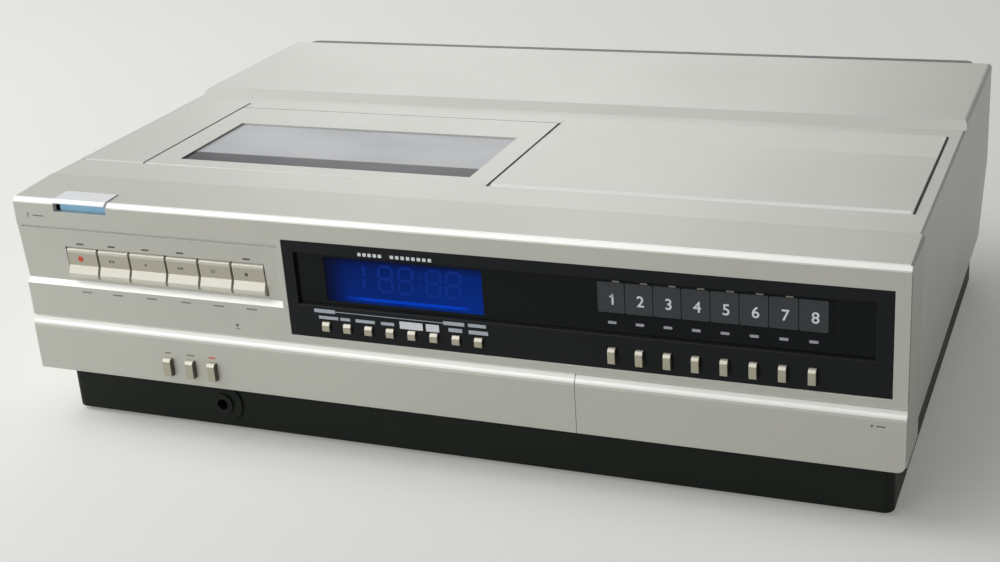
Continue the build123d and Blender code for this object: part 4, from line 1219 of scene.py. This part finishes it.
# Floor, lamps and surroundings
stage = {
    "floor": colour(226, 226, 222),
    "roughness": 0.8,
    "gloss": 0.2,
    "reach": 9.0,
    "wall": 4.0,
    "curve": 1.2,
    "curveSteps": 12,
    "height": 4.0,
    "ambient": 0.12,
    "floorGlow": 0.22,
    "sky": colour(250, 250, 252),
    "aim": (0, 0, 0.05),
}
lamps = {
    "overhead": {"place": (-0.9, -0.5, 1.9), "size": 1.8, "power": 15, "tint": (1.0, 1.0, 1.0)},
    "rearLeft": {"place": (-1.5, 2.0, 1.7), "size": 2.6, "power": 7, "tint": (0.98, 0.99, 1.0)},
    "rearFar": {"place": (-1.3, 3.4, 1.6), "size": 2.2, "power": 14, "tint": (1.0, 1.0, 1.0)},
    "frontFill": {"place": (-1.1, -2.2, 0.9), "size": 1.8, "power": 16, "tint": (1.0, 1.0, 0.99)},
    "leftSide": {"place": (-2.2, -0.4, 1.2), "size": 1.8, "power": 25, "tint": (1.0, 1.0, 1.0)},
}


def seenRays(tree):
    # 1 on the rays that show the surroundings, 0 on the rays that light the recorder
    rays = tree.add("ShaderNodeLightPath").socket.node
    kinds = ("Is Camera Ray", "Is Glossy Ray", "Is Transmission Ray")
    direct, glossy, through = (Wire(tree, rays.outputs[kind]) for kind in kinds)
    return direct.sum("MAXIMUM", glossy).sum("MAXIMUM", through)


def floorPaper():
    paint = Finish("floorPaper", stage["floor"], stage["roughness"], gloss=stage["gloss"])
    paint.set("Emission Color", paint.mix(seenRays(paint), (0, 0, 0, 1), stage["floor"]))
    paint.set("Emission Strength", stage["floorGlow"])
    return paint.material


def makeFloor():
    shape = bmesh.new()
    reach, wall, radius = stage["reach"], stage["wall"], stage["curve"]
    profile = [(-reach, 0.0)]
    for step in range(stage["curveSteps"] + 1):
        angle = math.pi / 2 * step / stage["curveSteps"]
        profile.append((wall - radius + radius * math.sin(angle), radius - radius * math.cos(angle)))
    profile.append((wall, stage["height"]))
    rows = [[shape.verts.new((side * reach, y, z)) for y, z in profile] for side in (-1, 1)]
    for i in range(len(profile) - 1):
        shape.faces.new((rows[0][i], rows[1][i], rows[1][i + 1], rows[0][i + 1]))
    for face in shape.faces:
        face.smooth = True
    madeObject("floor", shape, floorPaper())


def lightUp():
    for name, lamp in lamps.items():
        data = bpy.data.lights.new(name, "AREA")
        data.shape = "DISK"
        data.size = lamp["size"]
        data.energy = lamp["power"]
        data.color = lamp["tint"]
        holder = bpy.data.objects.new(name, data)
        holder.location = lamp["place"]
        towards = Vector(stage["aim"]) - Vector(lamp["place"])
        holder.rotation_euler = towards.to_track_quat("-Z", "Y").to_euler()
        bpy.context.scene.collection.objects.link(holder)
    world = bpy.data.worlds.new("room")
    bpy.context.scene.world = world
    world.use_nodes = True
    tree = Tree(world.node_tree)
    sky = world.node_tree.nodes["Background"]
    sky.inputs["Color"].default_value = stage["sky"]
    tree.feed(sky, "Strength", seenRays(tree) * (1 - stage["ambient"]) + stage["ambient"])


makeFloor()
lightUp()
bpy.context.scene.view_settings.view_transform = "Standard"
print("stage and lamps set")
